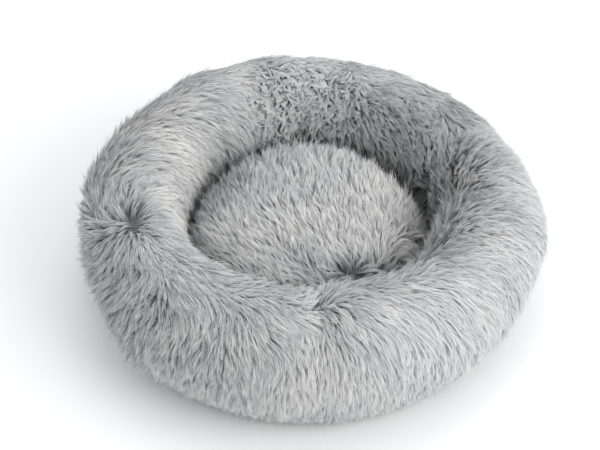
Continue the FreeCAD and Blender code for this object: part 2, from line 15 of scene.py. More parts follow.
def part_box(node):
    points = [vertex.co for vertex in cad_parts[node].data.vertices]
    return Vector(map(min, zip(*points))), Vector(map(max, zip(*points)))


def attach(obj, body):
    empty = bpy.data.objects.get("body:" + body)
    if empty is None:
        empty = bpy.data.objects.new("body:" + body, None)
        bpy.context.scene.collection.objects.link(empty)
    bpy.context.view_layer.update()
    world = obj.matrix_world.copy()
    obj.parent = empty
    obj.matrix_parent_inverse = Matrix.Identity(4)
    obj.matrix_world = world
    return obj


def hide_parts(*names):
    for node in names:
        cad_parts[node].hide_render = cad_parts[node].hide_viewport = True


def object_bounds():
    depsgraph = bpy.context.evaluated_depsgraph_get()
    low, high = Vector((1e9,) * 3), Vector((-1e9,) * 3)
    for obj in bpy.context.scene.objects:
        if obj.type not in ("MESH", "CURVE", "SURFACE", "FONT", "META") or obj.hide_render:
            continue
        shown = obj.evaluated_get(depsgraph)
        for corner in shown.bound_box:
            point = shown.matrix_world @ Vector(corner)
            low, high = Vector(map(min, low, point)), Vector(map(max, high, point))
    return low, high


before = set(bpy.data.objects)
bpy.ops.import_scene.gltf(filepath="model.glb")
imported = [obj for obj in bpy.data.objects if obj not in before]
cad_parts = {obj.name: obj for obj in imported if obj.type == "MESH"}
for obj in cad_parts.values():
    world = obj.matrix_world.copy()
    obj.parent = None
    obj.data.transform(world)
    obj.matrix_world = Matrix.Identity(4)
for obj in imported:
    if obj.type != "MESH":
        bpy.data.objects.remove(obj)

CAD_LOW, CAD_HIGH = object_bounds()
LOG = logging.getLogger("pet_bed")
MM = 0.001
Array = np.ndarray


# ---------------------------------------------------------------- small maths


def unit(vectors: Array) -> Array:
    """Rows scaled to length one."""
    return vectors / np.maximum(np.linalg.norm(vectors, axis=-1, keepdims=True), 1e-12)


def turned_about(vectors: Array, axes: Array, angles: Array) -> Array:
    """Turn each row about its own unit axis.

    Args:
        vectors: Rows to turn.
        axes: Unit axes, one per row.
        angles: Angles in radians, one per row.

    Returns:
        The turned rows.
    """
    cosine = np.cos(angles)[:, None]
    sine = np.sin(angles)[:, None]
    along = np.sum(vectors * axes, axis=1, keepdims=True) * axes
    return vectors * cosine + np.cross(axes, vectors) * sine + along * (1 - cosine)


def wrapped(angle: Array) -> Array:
    """Angles in radians brought to between minus pi and pi."""
    return (angle + math.pi) % (2 * math.pi) - math.pi


def smooth_step(low: float, high: float, value: Array) -> Array:
    """0 below low, 1 above high, and an even ease between."""
    share = np.clip((value - low) / (high - low), 0, 1)
    return share * share * (3 - 2 * share)


def even_scatter(count: int) -> tuple[Array, Array]:
    """Two even, unaligned sequences from 0 to 1, for spreading roots over a cloth."""
    index = np.arange(count)
    return (index * 0.7548776662466927) % 1, (index * 0.5698402909980532) % 1


class Ripples:
    """Soft random unevenness in space, from a few plane waves."""

    def __init__(self, seed: int, wavelength: float, count: int = 10) -> None:
        """Choose the waves.

        Args:
            seed: Seed of the random choice.
            wavelength: Typical length of a wave, in metres.
            count: Number of waves added up.
        """
        rng = np.random.default_rng(seed)
        directions = unit(rng.normal(size=(count, 3)))
        lengths = wavelength * rng.uniform(0.7, 1.5, size=(count, 1))
        self.waves = directions * 2 * math.pi / lengths
        self.phases = rng.uniform(0, 2 * math.pi, size=count)

    def at(self, points: Array) -> Array:
        """Value at each point, mostly between -1 and 1."""
        return np.sin(points @ self.waves.T + self.phases).sum(axis=1) / math.sqrt(len(self.phases))


# ---------------------------------------------------------------- meshes


def mesh_object(name: str, points: Array, faces: Sequence[Sequence[int]],
                smooth: bool = True) -> bpy.types.Object:
    """Link a new mesh object.

    Args:
        name: Name of the object and its mesh.
        points: Places of its points.
        faces: Indices of each face's points.
        smooth: Whether light passes smoothly from face to face.

    Returns:
        The new object.
    """
    mesh = bpy.data.meshes.new(name)
    mesh.from_pydata([tuple(point) for point in points], [], [tuple(face) for face in faces])
    mesh.validate()
    mesh.polygons.foreach_set("use_smooth", [smooth] * len(mesh.polygons))
    mesh.update()
    piece = bpy.data.objects.new(name, mesh)
    bpy.context.scene.collection.objects.link(piece)
    return piece


def grid_faces(rows: int, columns: int, offset: int = 0, closed: bool = False,
               flipped: bool = False) -> list[tuple[int, ...]]:
    """Four-sided faces of a grid of points stored row by row.

    Args:
        rows: Number of rows.
        columns: Number of points in a row.
        offset: Index of the grid's first point.
        closed: Whether each row joins its last point to its first.
        flipped: Whether the faces look the other way.

    Returns:
        The faces.
    """
    faces = []
    for row in range(rows - 1):
        for column in range(columns if closed else columns - 1):
            following = (column + 1) % columns
            a = offset + row * columns + column
            b = offset + row * columns + following
            face = (a, b, b + columns, a + columns)
            faces.append(face[::-1] if flipped else face)
    return faces


def shell_between(name: str, outer: Array, inner: Array, closed: bool = False) -> bpy.types.Object:
    """Closed shell between two grids of the same shape.

    Args:
        name: Name of the piece.
        outer: Grid of points on the side seen, rows by columns by three.
        inner: Grid on the other side.
        closed: Whether the rows run all the way round.

    Returns:
        The new piece.
    """
    rows, columns = outer.shape[:2]
    count = rows * columns
    faces = grid_faces(rows, columns, closed=closed)
    faces += grid_faces(rows, columns, offset=count, closed=closed, flipped=True)
    rim = []
    for column in range(columns if closed else columns - 1):
        following = (column + 1) % columns
        rim.append((following, column))
        rim.append(((rows - 1) * columns + column, (rows - 1) * columns + following))
    if not closed:
        for row in range(rows - 1):
            rim.append((row * columns, (row + 1) * columns))
            rim.append(((row + 1) * columns + columns - 1, row * columns + columns - 1))
    faces += [(a, b, b + count, a + count) for a, b in rim]
    points = np.concatenate([outer.reshape(-1, 3), inner.reshape(-1, 3)])
    return mesh_object(name, points, faces)


# ---------------------------------------------------------------- the ring's shape


HEM_OUTSIDE = math.radians(-64.5)
HEM_NEST = math.radians(238)
SECTION_RADIUS = 62 * MM


@dataclass(frozen=True)
class Pinch:
    """A place where the ring draws in.  Depths in metres, angle in degrees from +X."""

    angle: float
    outside: float
    crest: float
    inside: float
    reach: float = 16 * MM


@dataclass
class Ring:
    """The backing cloth of the ring: where it runs, under the pile."""

    pile: float = 16 * MM
    seams: tuple[Pinch, ...] = (
        Pinch(22, 3 * MM, 8 * MM, 24 * MM),
        Pinch(45, 0.5 * MM, 0.5 * MM, 1 * MM),
        Pinch(93, 2 * MM, 4 * MM, 10 * MM),
        Pinch(135, 5 * MM, 3 * MM, 6 * MM),
        Pinch(203, 6 * MM, 7 * MM, 6 * MM),
        Pinch(225, 0.5 * MM, 0.5 * MM, 1 * MM),
        Pinch(273, 3 * MM, 9 * MM, 9 * MM),
        Pinch(315, 1 * MM, 1 * MM, 3 * MM),
    )
    slumps: tuple[Pinch, ...] = (
        Pinch(340, -12 * MM, -2 * MM, 0, 110 * MM),
        Pinch(100, -9 * MM, -9 * MM, 0, 90 * MM),
        Pinch(130, -6 * MM, -5 * MM, 0, 40 * MM),
        Pinch(50, 4 * MM, 2 * MM, 0, 40 * MM),
        Pinch(215, 5 * MM, 2 * MM, 0, 30 * MM),
        Pinch(355, 0, 0, 13 * MM, 60 * MM),
        Pinch(305, 0, 0, 10 * MM, 45 * MM),
        Pinch(38, 0, 0, 9 * MM, 40 * MM),
    )
    radius: float = field(init=False)
    half_width: float = field(init=False)
    waist: float = field(init=False)
    rise: float = field(init=False)
    drop: float = field(init=False)

    def __post_init__(self) -> None:
        """Work the sizes out from the frame."""
        outside = CAD_HIGH.x
        self.radius = 228 * MM
        self.half_width = outside - self.radius - self.pile
        self.waist = 104 * MM
        self.rise = CAD_HIGH.z - self.waist - self.pile
        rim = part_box("base_seam_binding")[0].z + 3 * MM
        self.drop = (self.waist - rim) / -math.sin(HEM_OUTSIDE)
        self.unevenness = Ripples(11, 190 * MM)

    def depth(self, azimuth: Array, section: Array) -> Array:
        """How far the ring draws in.

        Args:
            azimuth: Angles round the bed, in radians from +X.
            section: Angles round the ring's section.

        Returns:
            The depth at each place, in metres.
        """
        outward = np.clip(np.cos(section), 0, 1) ** 2
        inward = np.clip(-np.cos(section), 0, 1) ** 2
        upward = 1 - outward - inward
        total = np.zeros_like(azimuth)
        for pinch in self.seams:
            gap = np.abs(wrapped(azimuth - math.radians(pinch.angle))) * self.radius
            amount = pinch.outside * outward + pinch.crest * upward + pinch.inside * inward
            total += amount * np.exp(-gap / pinch.reach)
        for slump in self.slumps:
            gap = np.abs(wrapped(azimuth - math.radians(slump.angle))) * self.radius
            amount = slump.outside * outward + slump.crest * upward + slump.inside * inward
            total += amount * np.exp(-(gap / slump.reach) ** 2)
        return total

    def at(self, azimuth: Array, section: Array, inset: float = 0.0) -> Array:
        """Points of the backing.

        Args:
            azimuth: Angles round the bed, in radians from +X.
            section: Angles round the ring's section, 0 outward, 90 degrees at the crest.
            inset: Distance inside the backing, in metres.

        Returns:
            The points, one row each.
        """
        across = np.cos(section)
        up = np.sin(section)
        below = up < 0
        fuller = np.sign(across) * np.abs(across) ** 0.55
        sideways = np.where(below, fuller, across)
        height = np.where(below, self.drop, self.rise)
        middle = self.radius
        place = np.stack([middle * np.cos(azimuth), middle * np.sin(azimuth), 0 * azimuth], -1)
        uneven = 2.2 * MM * self.unevenness.at(place + up[:, None] * 50 * MM)
        held = (1 - smooth_step(math.radians(20), -HEM_OUTSIDE, -section)
                - smooth_step(math.radians(200), HEM_NEST, section))
        drawn = held * (self.depth(azimuth, section) - uneven) + inset
        radial = middle + sideways * (self.half_width - drawn)
        level = self.waist + up * (height - drawn)
        return np.stack([radial * np.cos(azimuth), radial * np.sin(azimuth), level], -1)

    def frame_at(self, azimuth: Array, section: Array) -> tuple[Array, Array, Array, Array]:
        """Points of the backing, with the directions there.

        Args:
            azimuth: Angles round the bed, in radians from +X.
            section: Angles round the ring's section.

        Returns:
            Points, unit normals, and the unit tangents round the bed and over the section.
        """
        step = 1e-3
        points = self.at(azimuth, section)
        around = unit(self.at(azimuth + step, section) - self.at(azimuth - step, section))
        over = unit(self.at(azimuth, section + step) - self.at(azimuth, section - step))
        normal = unit(np.cross(around, over))
        outward = np.stack([np.cos(azimuth) * np.cos(section),
                            np.sin(azimuth) * np.cos(section), np.sin(section)], -1)
        normal *= np.sign(np.sum(normal * outward, axis=1, keepdims=True))
        return points, normal, around, over


# ---------------------------------------------------------------- combing


@dataclass(frozen=True)
class Stroke:
    """How the pile lies at one place.

    u and v place it: degrees round the bed and round the section on the ring, or millimetres
    across and back on the cushion.  sideways and forward are the lie in the same two senses.
    """

    u: float
    v: float
    sideways: float
    forward: float
    lift: float = 30.0
    tousle: float = 0.12
    lock: float = 0.75
    length: float = 1.0


@dataclass(frozen=True)
class Patch:
    """A place where the pile looks lighter or darker, or shows less or more of its roots.

    u and v place it as they place a stroke, and its reach is in millimetres.
    """

    u: float
    v: float
    reach: float
    shade: float
    frost: float


@dataclass(frozen=True)
class Whorl:
    """A point that the pile parts from in all directions.  Its reach is in millimetres."""

    u: float
    v: float
    reach: float
    strength: float = 1.0


STROKE_REACH = 30 * MM

RING_STROKES = (
    # front, outside and crest
    Stroke(215, 5, -0.1, -1, 36, 0.22, 0.95, 0.9), Stroke(240, 5, 0, -1, 34, 0.2, 0.95, 0.9),
    Stroke(270, 5, 0, -1, 28, 0.12, 0.7, 0.9), Stroke(300, 5, 0, -1, 20, 0.08, 0.5, 0.9),
    Stroke(222, 48, 0.1, -1, 32, 0.18, 0.95, 0.9), Stroke(250, 48, 0.2, -1, 26, 0.12, 0.7, 0.9),
    Stroke(285, 48, 0.2, -1, 18, 0.08, 0.4, 0.9), Stroke(310, 48, 0.3, -1, 9, 0.04, 0.15),
    Stroke(218, 84, 0.9, -0.3, 4, 0.02, 0.05), Stroke(235, 84, 0.9, -0.4, 4, 0.02, 0.05),
    Stroke(255, 84, 0.9, -0.5, 4, 0.02, 0.05), Stroke(290, 84, 0.8, -0.6, 4, 0.02, 0.05),
    Stroke(315, 84, 0.6, -0.8, 6, 0.03, 0.1),
    # front, into the nest
    Stroke(222, 122, 0.6, 0.9, 16, 0.1, 0.4), Stroke(245, 122, 0.5, 0.9, 18, 0.12, 0.5),
    Stroke(270, 130, 0.6, 0.6, 26, 0.3, 0.7, 0.8), Stroke(300, 125, 0.9, -0.2, 26, 0.3, 0.8, 0.8),
    # right
    Stroke(330, 10, 0, -1, 8, 0.03, 0.1), Stroke(0, 10, 0, -1, 8, 0.03, 0.1),
    Stroke(25, 10, -0.2, -1, 10, 0.04, 0.2), Stroke(335, 55, 0.3, -1, 6, 0.03, 0.1),
    Stroke(0, 55, 0.1, -1, 6, 0.03, 0.1), Stroke(20, 55, 0.1, -1, 10, 0.06, 0.3),
    Stroke(340, 98, 0.1, -1, 30, 0.18, 1.0, 1.0), Stroke(5, 98, -0.1, -1, 32, 0.2, 1.0, 1.0),
    Stroke(330, 145, 0, -1, 34, 0.3, 1.1, 0.95), Stroke(355, 145, -0.1, -1, 36, 0.32, 1.1, 0.95),
    Stroke(14, 145, -0.2, -1, 36, 0.35, 1.1, 0.95),
    Stroke(325, 180, 0.2, -0.9, 30, 0.25, 0.98, 0.4),
    Stroke(350, 180, 0.2, -0.9, 30, 0.25, 0.98, 0.4),
    Stroke(15, 180, 0.2, -0.9, 30, 0.25, 0.98, 0.4),
    # back
    Stroke(45, 10, -0.3, -1, 12, 0.06, 0.2), Stroke(90, 10, -0.2, -1, 14, 0.06, 0.3),
    Stroke(40, 60, -0.8, -0.5, 8, 0.04, 0.15), Stroke(38, 95, -0.9, 0.3, 12, 0.08, 0.3),
    Stroke(65, 80, -1, 0, 5, 0.03, 0.1), Stroke(93, 75, -1, 0, 4, 0.02, 0.05),
    Stroke(120, 80, -1, 0.2, 6, 0.03, 0.1), Stroke(36, 135, -0.95, 0.0, 26, 0.3, 0.85, 0.9),
    Stroke(58, 115, -0.95, 0.2, 14, 0.2, 0.5), Stroke(58, 145, -0.95, 0.15, 28, 0.35, 0.85, 0.8),
    Stroke(78, 128, -0.5, 0.8, 24, 0.7, 0.8, 0.75),
    Stroke(95, 118, -0.2, 0.9, 26, 0.9, 0.85, 0.7),
    Stroke(110, 128, 0.2, 0.8, 24, 0.7, 0.8, 0.75), Stroke(90, 150, 0, 1, 28, 0.7, 0.85, 0.75),
    Stroke(125, 120, -0.7, 0.8, 12, 0.08, 0.2),
    # left
    Stroke(135, 10, -0.2, -1, 18, 0.12, 0.6, 0.9), Stroke(165, 8, -0.5, 0.6, 24, 0.2, 0.95, 0.8),
    Stroke(185, 8, -0.4, -0.4, 24, 0.22, 0.95, 0.8),
    Stroke(135, 50, -0.9, 0.6, 16, 0.08, 0.4, 0.9),
    Stroke(160, 45, -0.5, 0.9, 24, 0.12, 0.85, 0.9),
    Stroke(180, 50, -0.3, 0.9, 28, 0.14, 0.9, 0.9), Stroke(145, 90, -0.8, 0.6, 18, 0.1, 0.7),
    Stroke(165, 90, -0.5, 1, 20, 0.12, 0.85), Stroke(185, 92, -0.3, 1, 24, 0.12, 0.9),
    Stroke(150, 130, -0.4, 1, 10, 0.06, 0.3), Stroke(175, 130, -0.2, 1, 10, 0.08, 0.4),
    Stroke(198, 130, 0.3, 1, 12, 0.1, 0.3),
) + tuple(
    stroke for angle in range(0, 360, 30)
    for stroke in (Stroke(angle, -50, 0, -1, 8, 0.1, 0.6, 0.6),
                   Stroke(angle + 15, 215, 0, 1, 22, 0.15, 0.6))
)
RING_PATCHES = (
    # left
    Patch(180, 10, 70, -0.03, -0.42), Patch(165, 10, 60, 0.0, -0.45),
    # Painted shade, with more of the dark roots shown: the left and front-left outer side, turned from
    # the key lamp, darker in this line and the next.
    Patch(140, 30, 34, -0.26, -0.5), Patch(124, 35, 30, -0.2, -0.5),
    Patch(216, -20, 36, -0.24, -0.3), Patch(205, -5, 60, -0.12, -0.5),
    Patch(222, 10, 55, -0.05, -0.45), Patch(198, 96, 14, -0.3, -0.4),
    # Painted light: the left crest and inner wall, which face the key lamp, lighter in the first three
    # patches from here.
    Patch(155, 95, 50, 0.18, -0.2), Patch(160, 140, 50, 0.16, 0.6),
    Patch(190, 140, 40, 0.16, 0.5), Patch(212, 100, 24, 0.0, 0.2),
    # front
    Patch(225, 78, 30, -0.1, 0.2), Patch(245, 78, 34, -0.1, 0.2), Patch(268, 84, 30, -0.04, 0.35),
    Patch(290, 84, 34, -0.06, 0.3), Patch(240, 20, 50, 0.06, -0.35),
    Patch(270, 20, 60, 0.12, 0.2), Patch(300, 20, 70, -0.02, 0.9),
    # Painted shadow: the front inner wall darker low down, in the crevice beside the cushion, in this
    # line and the first patch of the next.
    Patch(272, 150, 30, -0.2, -0.3), Patch(295, 160, 30, -0.3, -0.4),
    Patch(308, 150, 22, -0.26, -0.5), Patch(273, 92, 10, -0.15, -0.1),
    # right
    Patch(325, 20, 70, -0.06, 0.9), Patch(350, 20, 70, -0.04, 0.9), Patch(15, 20, 60, -0.08, 0.7),
    Patch(345, 90, 36, -0.12, -0.3), Patch(10, 90, 32, -0.14, -0.4),
    Patch(332, 142, 34, 0.04, -1.0), Patch(355, 138, 40, 0.06, -1.0),
    # Painted shadow in the last patch here and the next two lines: the right inner wall darker low
    # down, in the crevice beside the cushion.
    Patch(14, 138, 34, 0.06, -1.0), Patch(320, 178, 26, -0.2, -0.6),
    Patch(345, 178, 26, -0.22, -0.6), Patch(10, 178, 26, -0.22, -0.6),
    Patch(2, 156, 13, -0.3, -0.5), Patch(343, 162, 15, -0.3, -0.5),
    # Painted shadow in the crease of the seam at 22 degrees.
    Patch(22, 112, 9, -0.25, -0.5), Patch(22, 132, 10, -0.25, -0.5),
    Patch(22, 155, 14, -0.25, -0.5),
    # back
    Patch(38, 70, 50, -0.36, 0.5), Patch(65, 70, 40, -0.2, 0.7), Patch(93, 75, 40, 0.0, 0.8),
    Patch(120, 80, 40, 0.04, 0.7), Patch(88, 120, 34, -0.04, 0.25),
    Patch(50, 130, 34, -0.2, -0.25), Patch(68, 140, 24, -0.15, -0.2),
    Patch(80, 118, 14, -0.16, -0.2), Patch(64, 108, 16, -0.16, -0.2),
)
RING_WHORLS = (Whorl(202, 92, 50, 1.4), Whorl(273, 97, 24, 0.8))

CUSHION_STROKES = (
    # left
    Stroke(-135, 40, 0.1, 1, 34, 0.15, 0.9), Stroke(-130, -20, -0.2, 1, 32, 0.15, 0.9),
    Stroke(-110, 85, 0.1, 1, 34, 0.15, 0.9), Stroke(-100, 20, 0, 1, 32, 0.15, 0.9),
    Stroke(-70, 40, -0.2, 1, 32, 0.14, 0.95), Stroke(-70, -50, -0.6, 0.8, 32, 0.14, 0.98),
    # back
    Stroke(-50, 120, 0, 1, 40, 0.2, 0.85), Stroke(0, 128, 0.1, 1, 40, 0.2, 0.85),
    Stroke(55, 118, 0.2, 1, 38, 0.2, 0.85), Stroke(0, 60, -0.1, 1, 32, 0.15, 0.95),
    Stroke(60, 50, -0.1, 1, 30, 0.12, 0.95), Stroke(105, 70, -0.2, 1, 30, 0.12, 0.95),
    # front and right
    Stroke(125, 10, -0.4, 1, 30, 0.12, 0.9), Stroke(60, -10, -0.15, 1, 30, 0.12, 0.95),
    Stroke(0, -30, -0.45, 0.9, 32, 0.14, 0.98), Stroke(-40, -100, -0.6, 0.8, 32, 0.15, 0.98),
    Stroke(20, -90, -0.5, 0.8, 30, 0.2, 0.8), Stroke(60, -120, 0.3, -1, 24, 0.2, 0.8),
    Stroke(118, -60, 0.6, -0.8, 24, 0.15, 0.8), Stroke(90, -60, -0.3, 0.9, 28, 0.15, 0.8),
)
CUSHION_WHORLS = (Whorl(22, 88, 18, 0.6),
                  Whorl(8, -100, 18, 0.5), Whorl(56, -104, 16, 0.5))

CUSHION_PATCHES = (
    # dark left end: painted shade on the end turned from the key lamp, and more of the dark roots
    # shown
    Patch(-92, 92, 26, -0.22, -0.55), Patch(-104, 54, 28, -0.26, -0.6),
    Patch(-112, 14, 22, -0.2, -0.55), Patch(-80, 116, 22, -0.26, -0.35),
    Patch(-96, 40, 18, -0.22, -0.35),
    # lighter top: painted light
    Patch(60, 20, 60, 0.1, -0.1), Patch(0, -40, 50, 0.18, -0.25), Patch(90, -60, 50, 0.26, 0.0),
    Patch(-60, -60, 40, 0.2, -0.25), Patch(115, 40, 40, 0.32, 0.1),
    # open places where the pile parts; Patch(82, -104) and Patch(106, -86) are painted shade on the
    # front right rim, beside the crevice
    Patch(-20, 98, 30, -0.12, -0.2), Patch(-25, 20, 16, -0.12, -0.25),
    Patch(-70, 96, 12, -0.2, -0.2), Patch(8, -97, 14, -0.16, -0.3),
    Patch(50, -104, 14, -0.12, -0.25), Patch(82, -104, 16, -0.26, -0.4),
    Patch(106, -86, 14, -0.2, -0.35),
)


def tones(patches: Sequence[Patch], offsets: Callable[[float, float], tuple[Array, Array]],
          count: int) -> tuple[Array, Array]:
    """Add up the patches over many roots.

    Args:
        patches: The patches.
        offsets: Gives the distances in metres of every root from a place, in both senses.
        count: Number of roots.

    Returns:
        Change of shade and change of frosting at each root.
    """
    shade, frost = np.zeros(count), np.zeros(count)
    for patch in patches:
        across, along = offsets(patch.u, patch.v)
        weight = np.exp(-(across ** 2 + along ** 2) / (patch.reach * MM) ** 2)
        shade += patch.shade * weight
        frost += patch.frost * weight
    return shade, frost


@dataclass
class Lie:
    """The combed state of the pile at many roots: arrays with one entry each."""

    sideways: Array
    forward: Array
    lift: Array
    tousle: Array
    lock: Array
    length: Array

    def columns(self) -> tuple[Array, ...]:
        """The arrays, in the order in which they are stated."""
        return self.sideways, self.forward, self.lift, self.tousle, self.lock, self.length


def comb(strokes: Sequence[Stroke], whorls: Sequence[Whorl],
         offsets: Callable[[float, float], tuple[Array, Array]], softness: float) -> Lie:
    """Blend the strokes over many roots.

    Args:
        strokes: The strokes.
        whorls: Points that the pile parts from.
        offsets: Gives the distances in metres of every root from a place, in both senses.
        softness: Distance over which one stroke gives way to the next.

    Returns:
        The lie of the pile at each root.
    """
    totals = None
    weights = 0.0
    for stroke in strokes:
        across, along = offsets(stroke.u, stroke.v)
        weight = np.exp(-(across ** 2 + along ** 2) / softness ** 2) + 1e-9
        size = math.hypot(stroke.sideways, stroke.forward)
        values = np.array([stroke.sideways / size, stroke.forward / size, stroke.lift,
                           stroke.tousle, stroke.lock, stroke.length])
        share = weight[:, None] * values
        totals = share if totals is None else totals + share
        weights = weights + weight
    mean = totals / weights[:, None]
    sideways, forward = mean[:, 0], mean[:, 1]
    lift = mean[:, 2]
    for whorl in whorls:
        across, along = offsets(whorl.u, whorl.v)
        distance = np.hypot(across, along) + 1e-6
        reach = whorl.reach * MM
        weight = whorl.strength * np.exp(-(distance / reach) ** 2)
        sideways = sideways + weight * across / distance
        forward = forward + weight * along / distance
        lift = lift + 4 * np.exp(-(distance / (0.35 * reach)) ** 2)
    size = np.hypot(sideways, forward) + 1e-9
    return Lie(sideways / size, forward / size, lift, mean[:, 3], mean[:, 4], mean[:, 5])


# ---------------------------------------------------------------- pile


@dataclass
class Roots:
    """Where the fibres stand: points, normals, and the two tangents that the lie refers to."""

    points: Array
    normals: Array
    sideways: Array
    forward: Array

    def part(self, chosen: Array) -> "Roots":
        """Only the chosen roots."""
        return Roots(self.points[chosen], self.normals[chosen], self.sideways[chosen],
                     self.forward[chosen])


@dataclass
class Pile:
    """Long frosted pile, grown as closed tapered fibres gathered in locks."""

    length: float = 27 * MM
    fibre: float = 0.85 * MM
    per_lock: float = 7.0
    droop: float = 0.3
    softness: float = 0.72
    segments: int = 2
    curl: float = 0.0
    floor: float = 0.6 * MM
    ceiling: float = field(default_factory=lambda: CAD_HIGH.z)
    stray: float = 0.05
    seed: int = 5

    # shape of a fibre's mesh, and steps of its tone and frosting
    sides = 3
    tones = 16
    frosts = 6
    # unevenness of a lock's heading, lift and curl: when combed flat, and for a full tousle
    sway = 0.22
    veer = 0.10
    tousled_veer = 0.75
    lift_spread = 0.22
    tousled_lift = 0.35
    curl_spread = 0.15
    tousled_curl = 1.2
    # degrees that a lock stands above its lift at the root, and bends below it at the tip
    root_rise = math.radians(30)
    tip_fall = math.radians(18)
    # unevenness of length, gather and tone, between locks and between fibres
    lock_length_spread = 0.16
    fibre_length_spread = 0.10
    stray_gather = 0.1
    stray_spread = 0.15
    fibre_spread = 0.05
    lock_shade_spread = 0.08
    fibre_shade_spread = 0.07
    lock_frost_spread = 0.08
    fibre_frost_spread = 0.05
    usual_frost = 0.36

    def lock_paths(self, roots: Roots, lie: Lie, rng: np.random.Generator) -> Array:
        """Shape the locks.

        Args:
            roots: Each lock's root.
            lie: The combed lie there.
            rng: Source of the random draws.

        Returns:
            Path of each lock from its root, for a length of one: locks by points by three.
        """
        count = len(roots.points)
        heading = roots.sideways * lie.sideways[:, None] + roots.forward * lie.forward[:, None]
        heading -= np.sum(heading * roots.normals, axis=1, keepdims=True) * roots.normals
        heading = unit(heading)
        sway = Ripples(self.seed + 1, 38 * MM).at(roots.points)
        veer = self.sway * sway + rng.normal(size=count) * (self.veer + self.tousled_veer * lie.tousle)
        heading = turned_about(heading, roots.normals, veer)
        lift = np.radians(lie.lift) * (1 + self.lift_spread * rng.normal(size=count))
        lift += self.tousled_lift * lie.tousle * rng.normal(size=count)
        curl = rng.normal(size=count) * (self.curl_spread + self.tousled_curl * lie.tousle)
        curl += self.curl * np.where(rng.random(count) < 0.5, -1.0, 1.0)
        paths = np.zeros((count, self.segments + 1, 3))
        down = np.array([0, 0, -1.0])
        for index in range(self.segments):
            share = (index + 0.5) / self.segments
            angle = lift + self.root_rise * (1 - share) - self.tip_fall * share
            step = heading * np.cos(angle)[:, None] + roots.normals * np.sin(angle)[:, None]
            step = unit(step + down * self.droop * share)
            paths[:, index + 1] = paths[:, index] + step / self.segments
            heading = turned_about(heading, roots.normals, curl / self.segments)
        return paths

    def grow(self, name: str, roots: Roots, lie: Lie, keep: Sequence[tuple[str, Array]],
             shade_shift: Array, frost_shift: Array) -> list[bpy.types.Object]:
        """Grow the fibres and split them into pieces.

        Args:
            name: Name used for the random draws' log line.
            roots: Every fibre's root.
            lie: The combed lie at every root.
            keep: Piece names, each with a mask of its roots.
            shade_shift: Slow change of shade at each root, about zero.
            frost_shift: Slow change of frosting at each root, about zero.

        Returns:
            The pieces, in the order of keep.
        """
        rng = np.random.default_rng(self.seed)
        count = len(roots.points)
        lock_count = max(1, int(count / self.per_lock))
        chosen = rng.permutation(count)[:lock_count]
        lock_roots = roots.part(chosen)
        lock_lie = Lie(*(values[chosen] for values in lie.columns()))
        paths = self.lock_paths(lock_roots, lock_lie, rng)
        tree = KDTree(lock_count)
        for index, point in enumerate(lock_roots.points):
            tree.insert(point, index)
        tree.balance()
        owner = np.array([tree.find(point)[1] for point in roots.points])

        lock_length = lock_lie.length * (1 + self.lock_length_spread * rng.normal(size=lock_count))
        uneven = 1 + self.fibre_length_spread * rng.normal(size=count)
        length = self.length * np.clip(lock_length[owner] * uneven, 0.35, 1.35)
        stray = rng.random(count) < self.stray
        gather = np.clip(lie.lock * (0.85 + 0.2 * rng.normal(size=count)), 0, 0.97)
        gather = np.where(stray, self.stray_gather, gather)
        spread = np.where(stray, self.stray_spread, self.fibre_spread)
        along = np.linspace(0, 1, self.segments + 1)
        pull = along[None, :] ** 1.1 * gather[:, None]
        toward = lock_roots.points[owner] - roots.points
        path = roots.points[:, None] + paths[owner] * length[:, None, None]
        path += toward[:, None] * pull[:, :, None]
        loose = rng.normal(size=(count, 3)) * (spread * length)[:, None]
        path += loose[:, None] * (along[None, :, None] ** 1.4)
        floor = self.floor * (1 + 3 * rng.random(count))
        path[:, :, 2] = np.maximum(path[:, :, 2], floor[:, None])
        over = np.maximum(path[:, :, 2] - self.ceiling, 0)
        path[:, :, 2] -= over * over / (over + 9 * MM)

        calm = 1 - 0.8 * np.clip(frost_shift, 0, 0.8)
        lock_shade = self.lock_shade_spread * rng.normal(size=lock_count)
        unevenness = lock_shade[owner] + self.fibre_shade_spread * rng.normal(size=count)
        shade = 0.5 + unevenness * calm + shade_shift
        shade = np.clip(shade, 0.01, 0.99)
        lock_frost = self.lock_frost_spread * rng.normal(size=lock_count)
        frost = self.usual_frost + lock_frost[owner]
        frost = frost + self.fibre_frost_spread * rng.normal(size=count) + frost_shift
        frost = np.clip(frost, 0.01, 0.99)
        thickness = self.fibre * (0.85 + 0.3 * rng.random(count))
        roll = rng.uniform(0, 2 * math.pi, size=count)
        LOG.info("%s: %d fibres in %d locks", name, count, lock_count)
        return [self.weave_mesh(piece, path[mask], roots.normals[mask], thickness[mask],
                                roll[mask], shade[mask], frost[mask]) for piece, mask in keep]

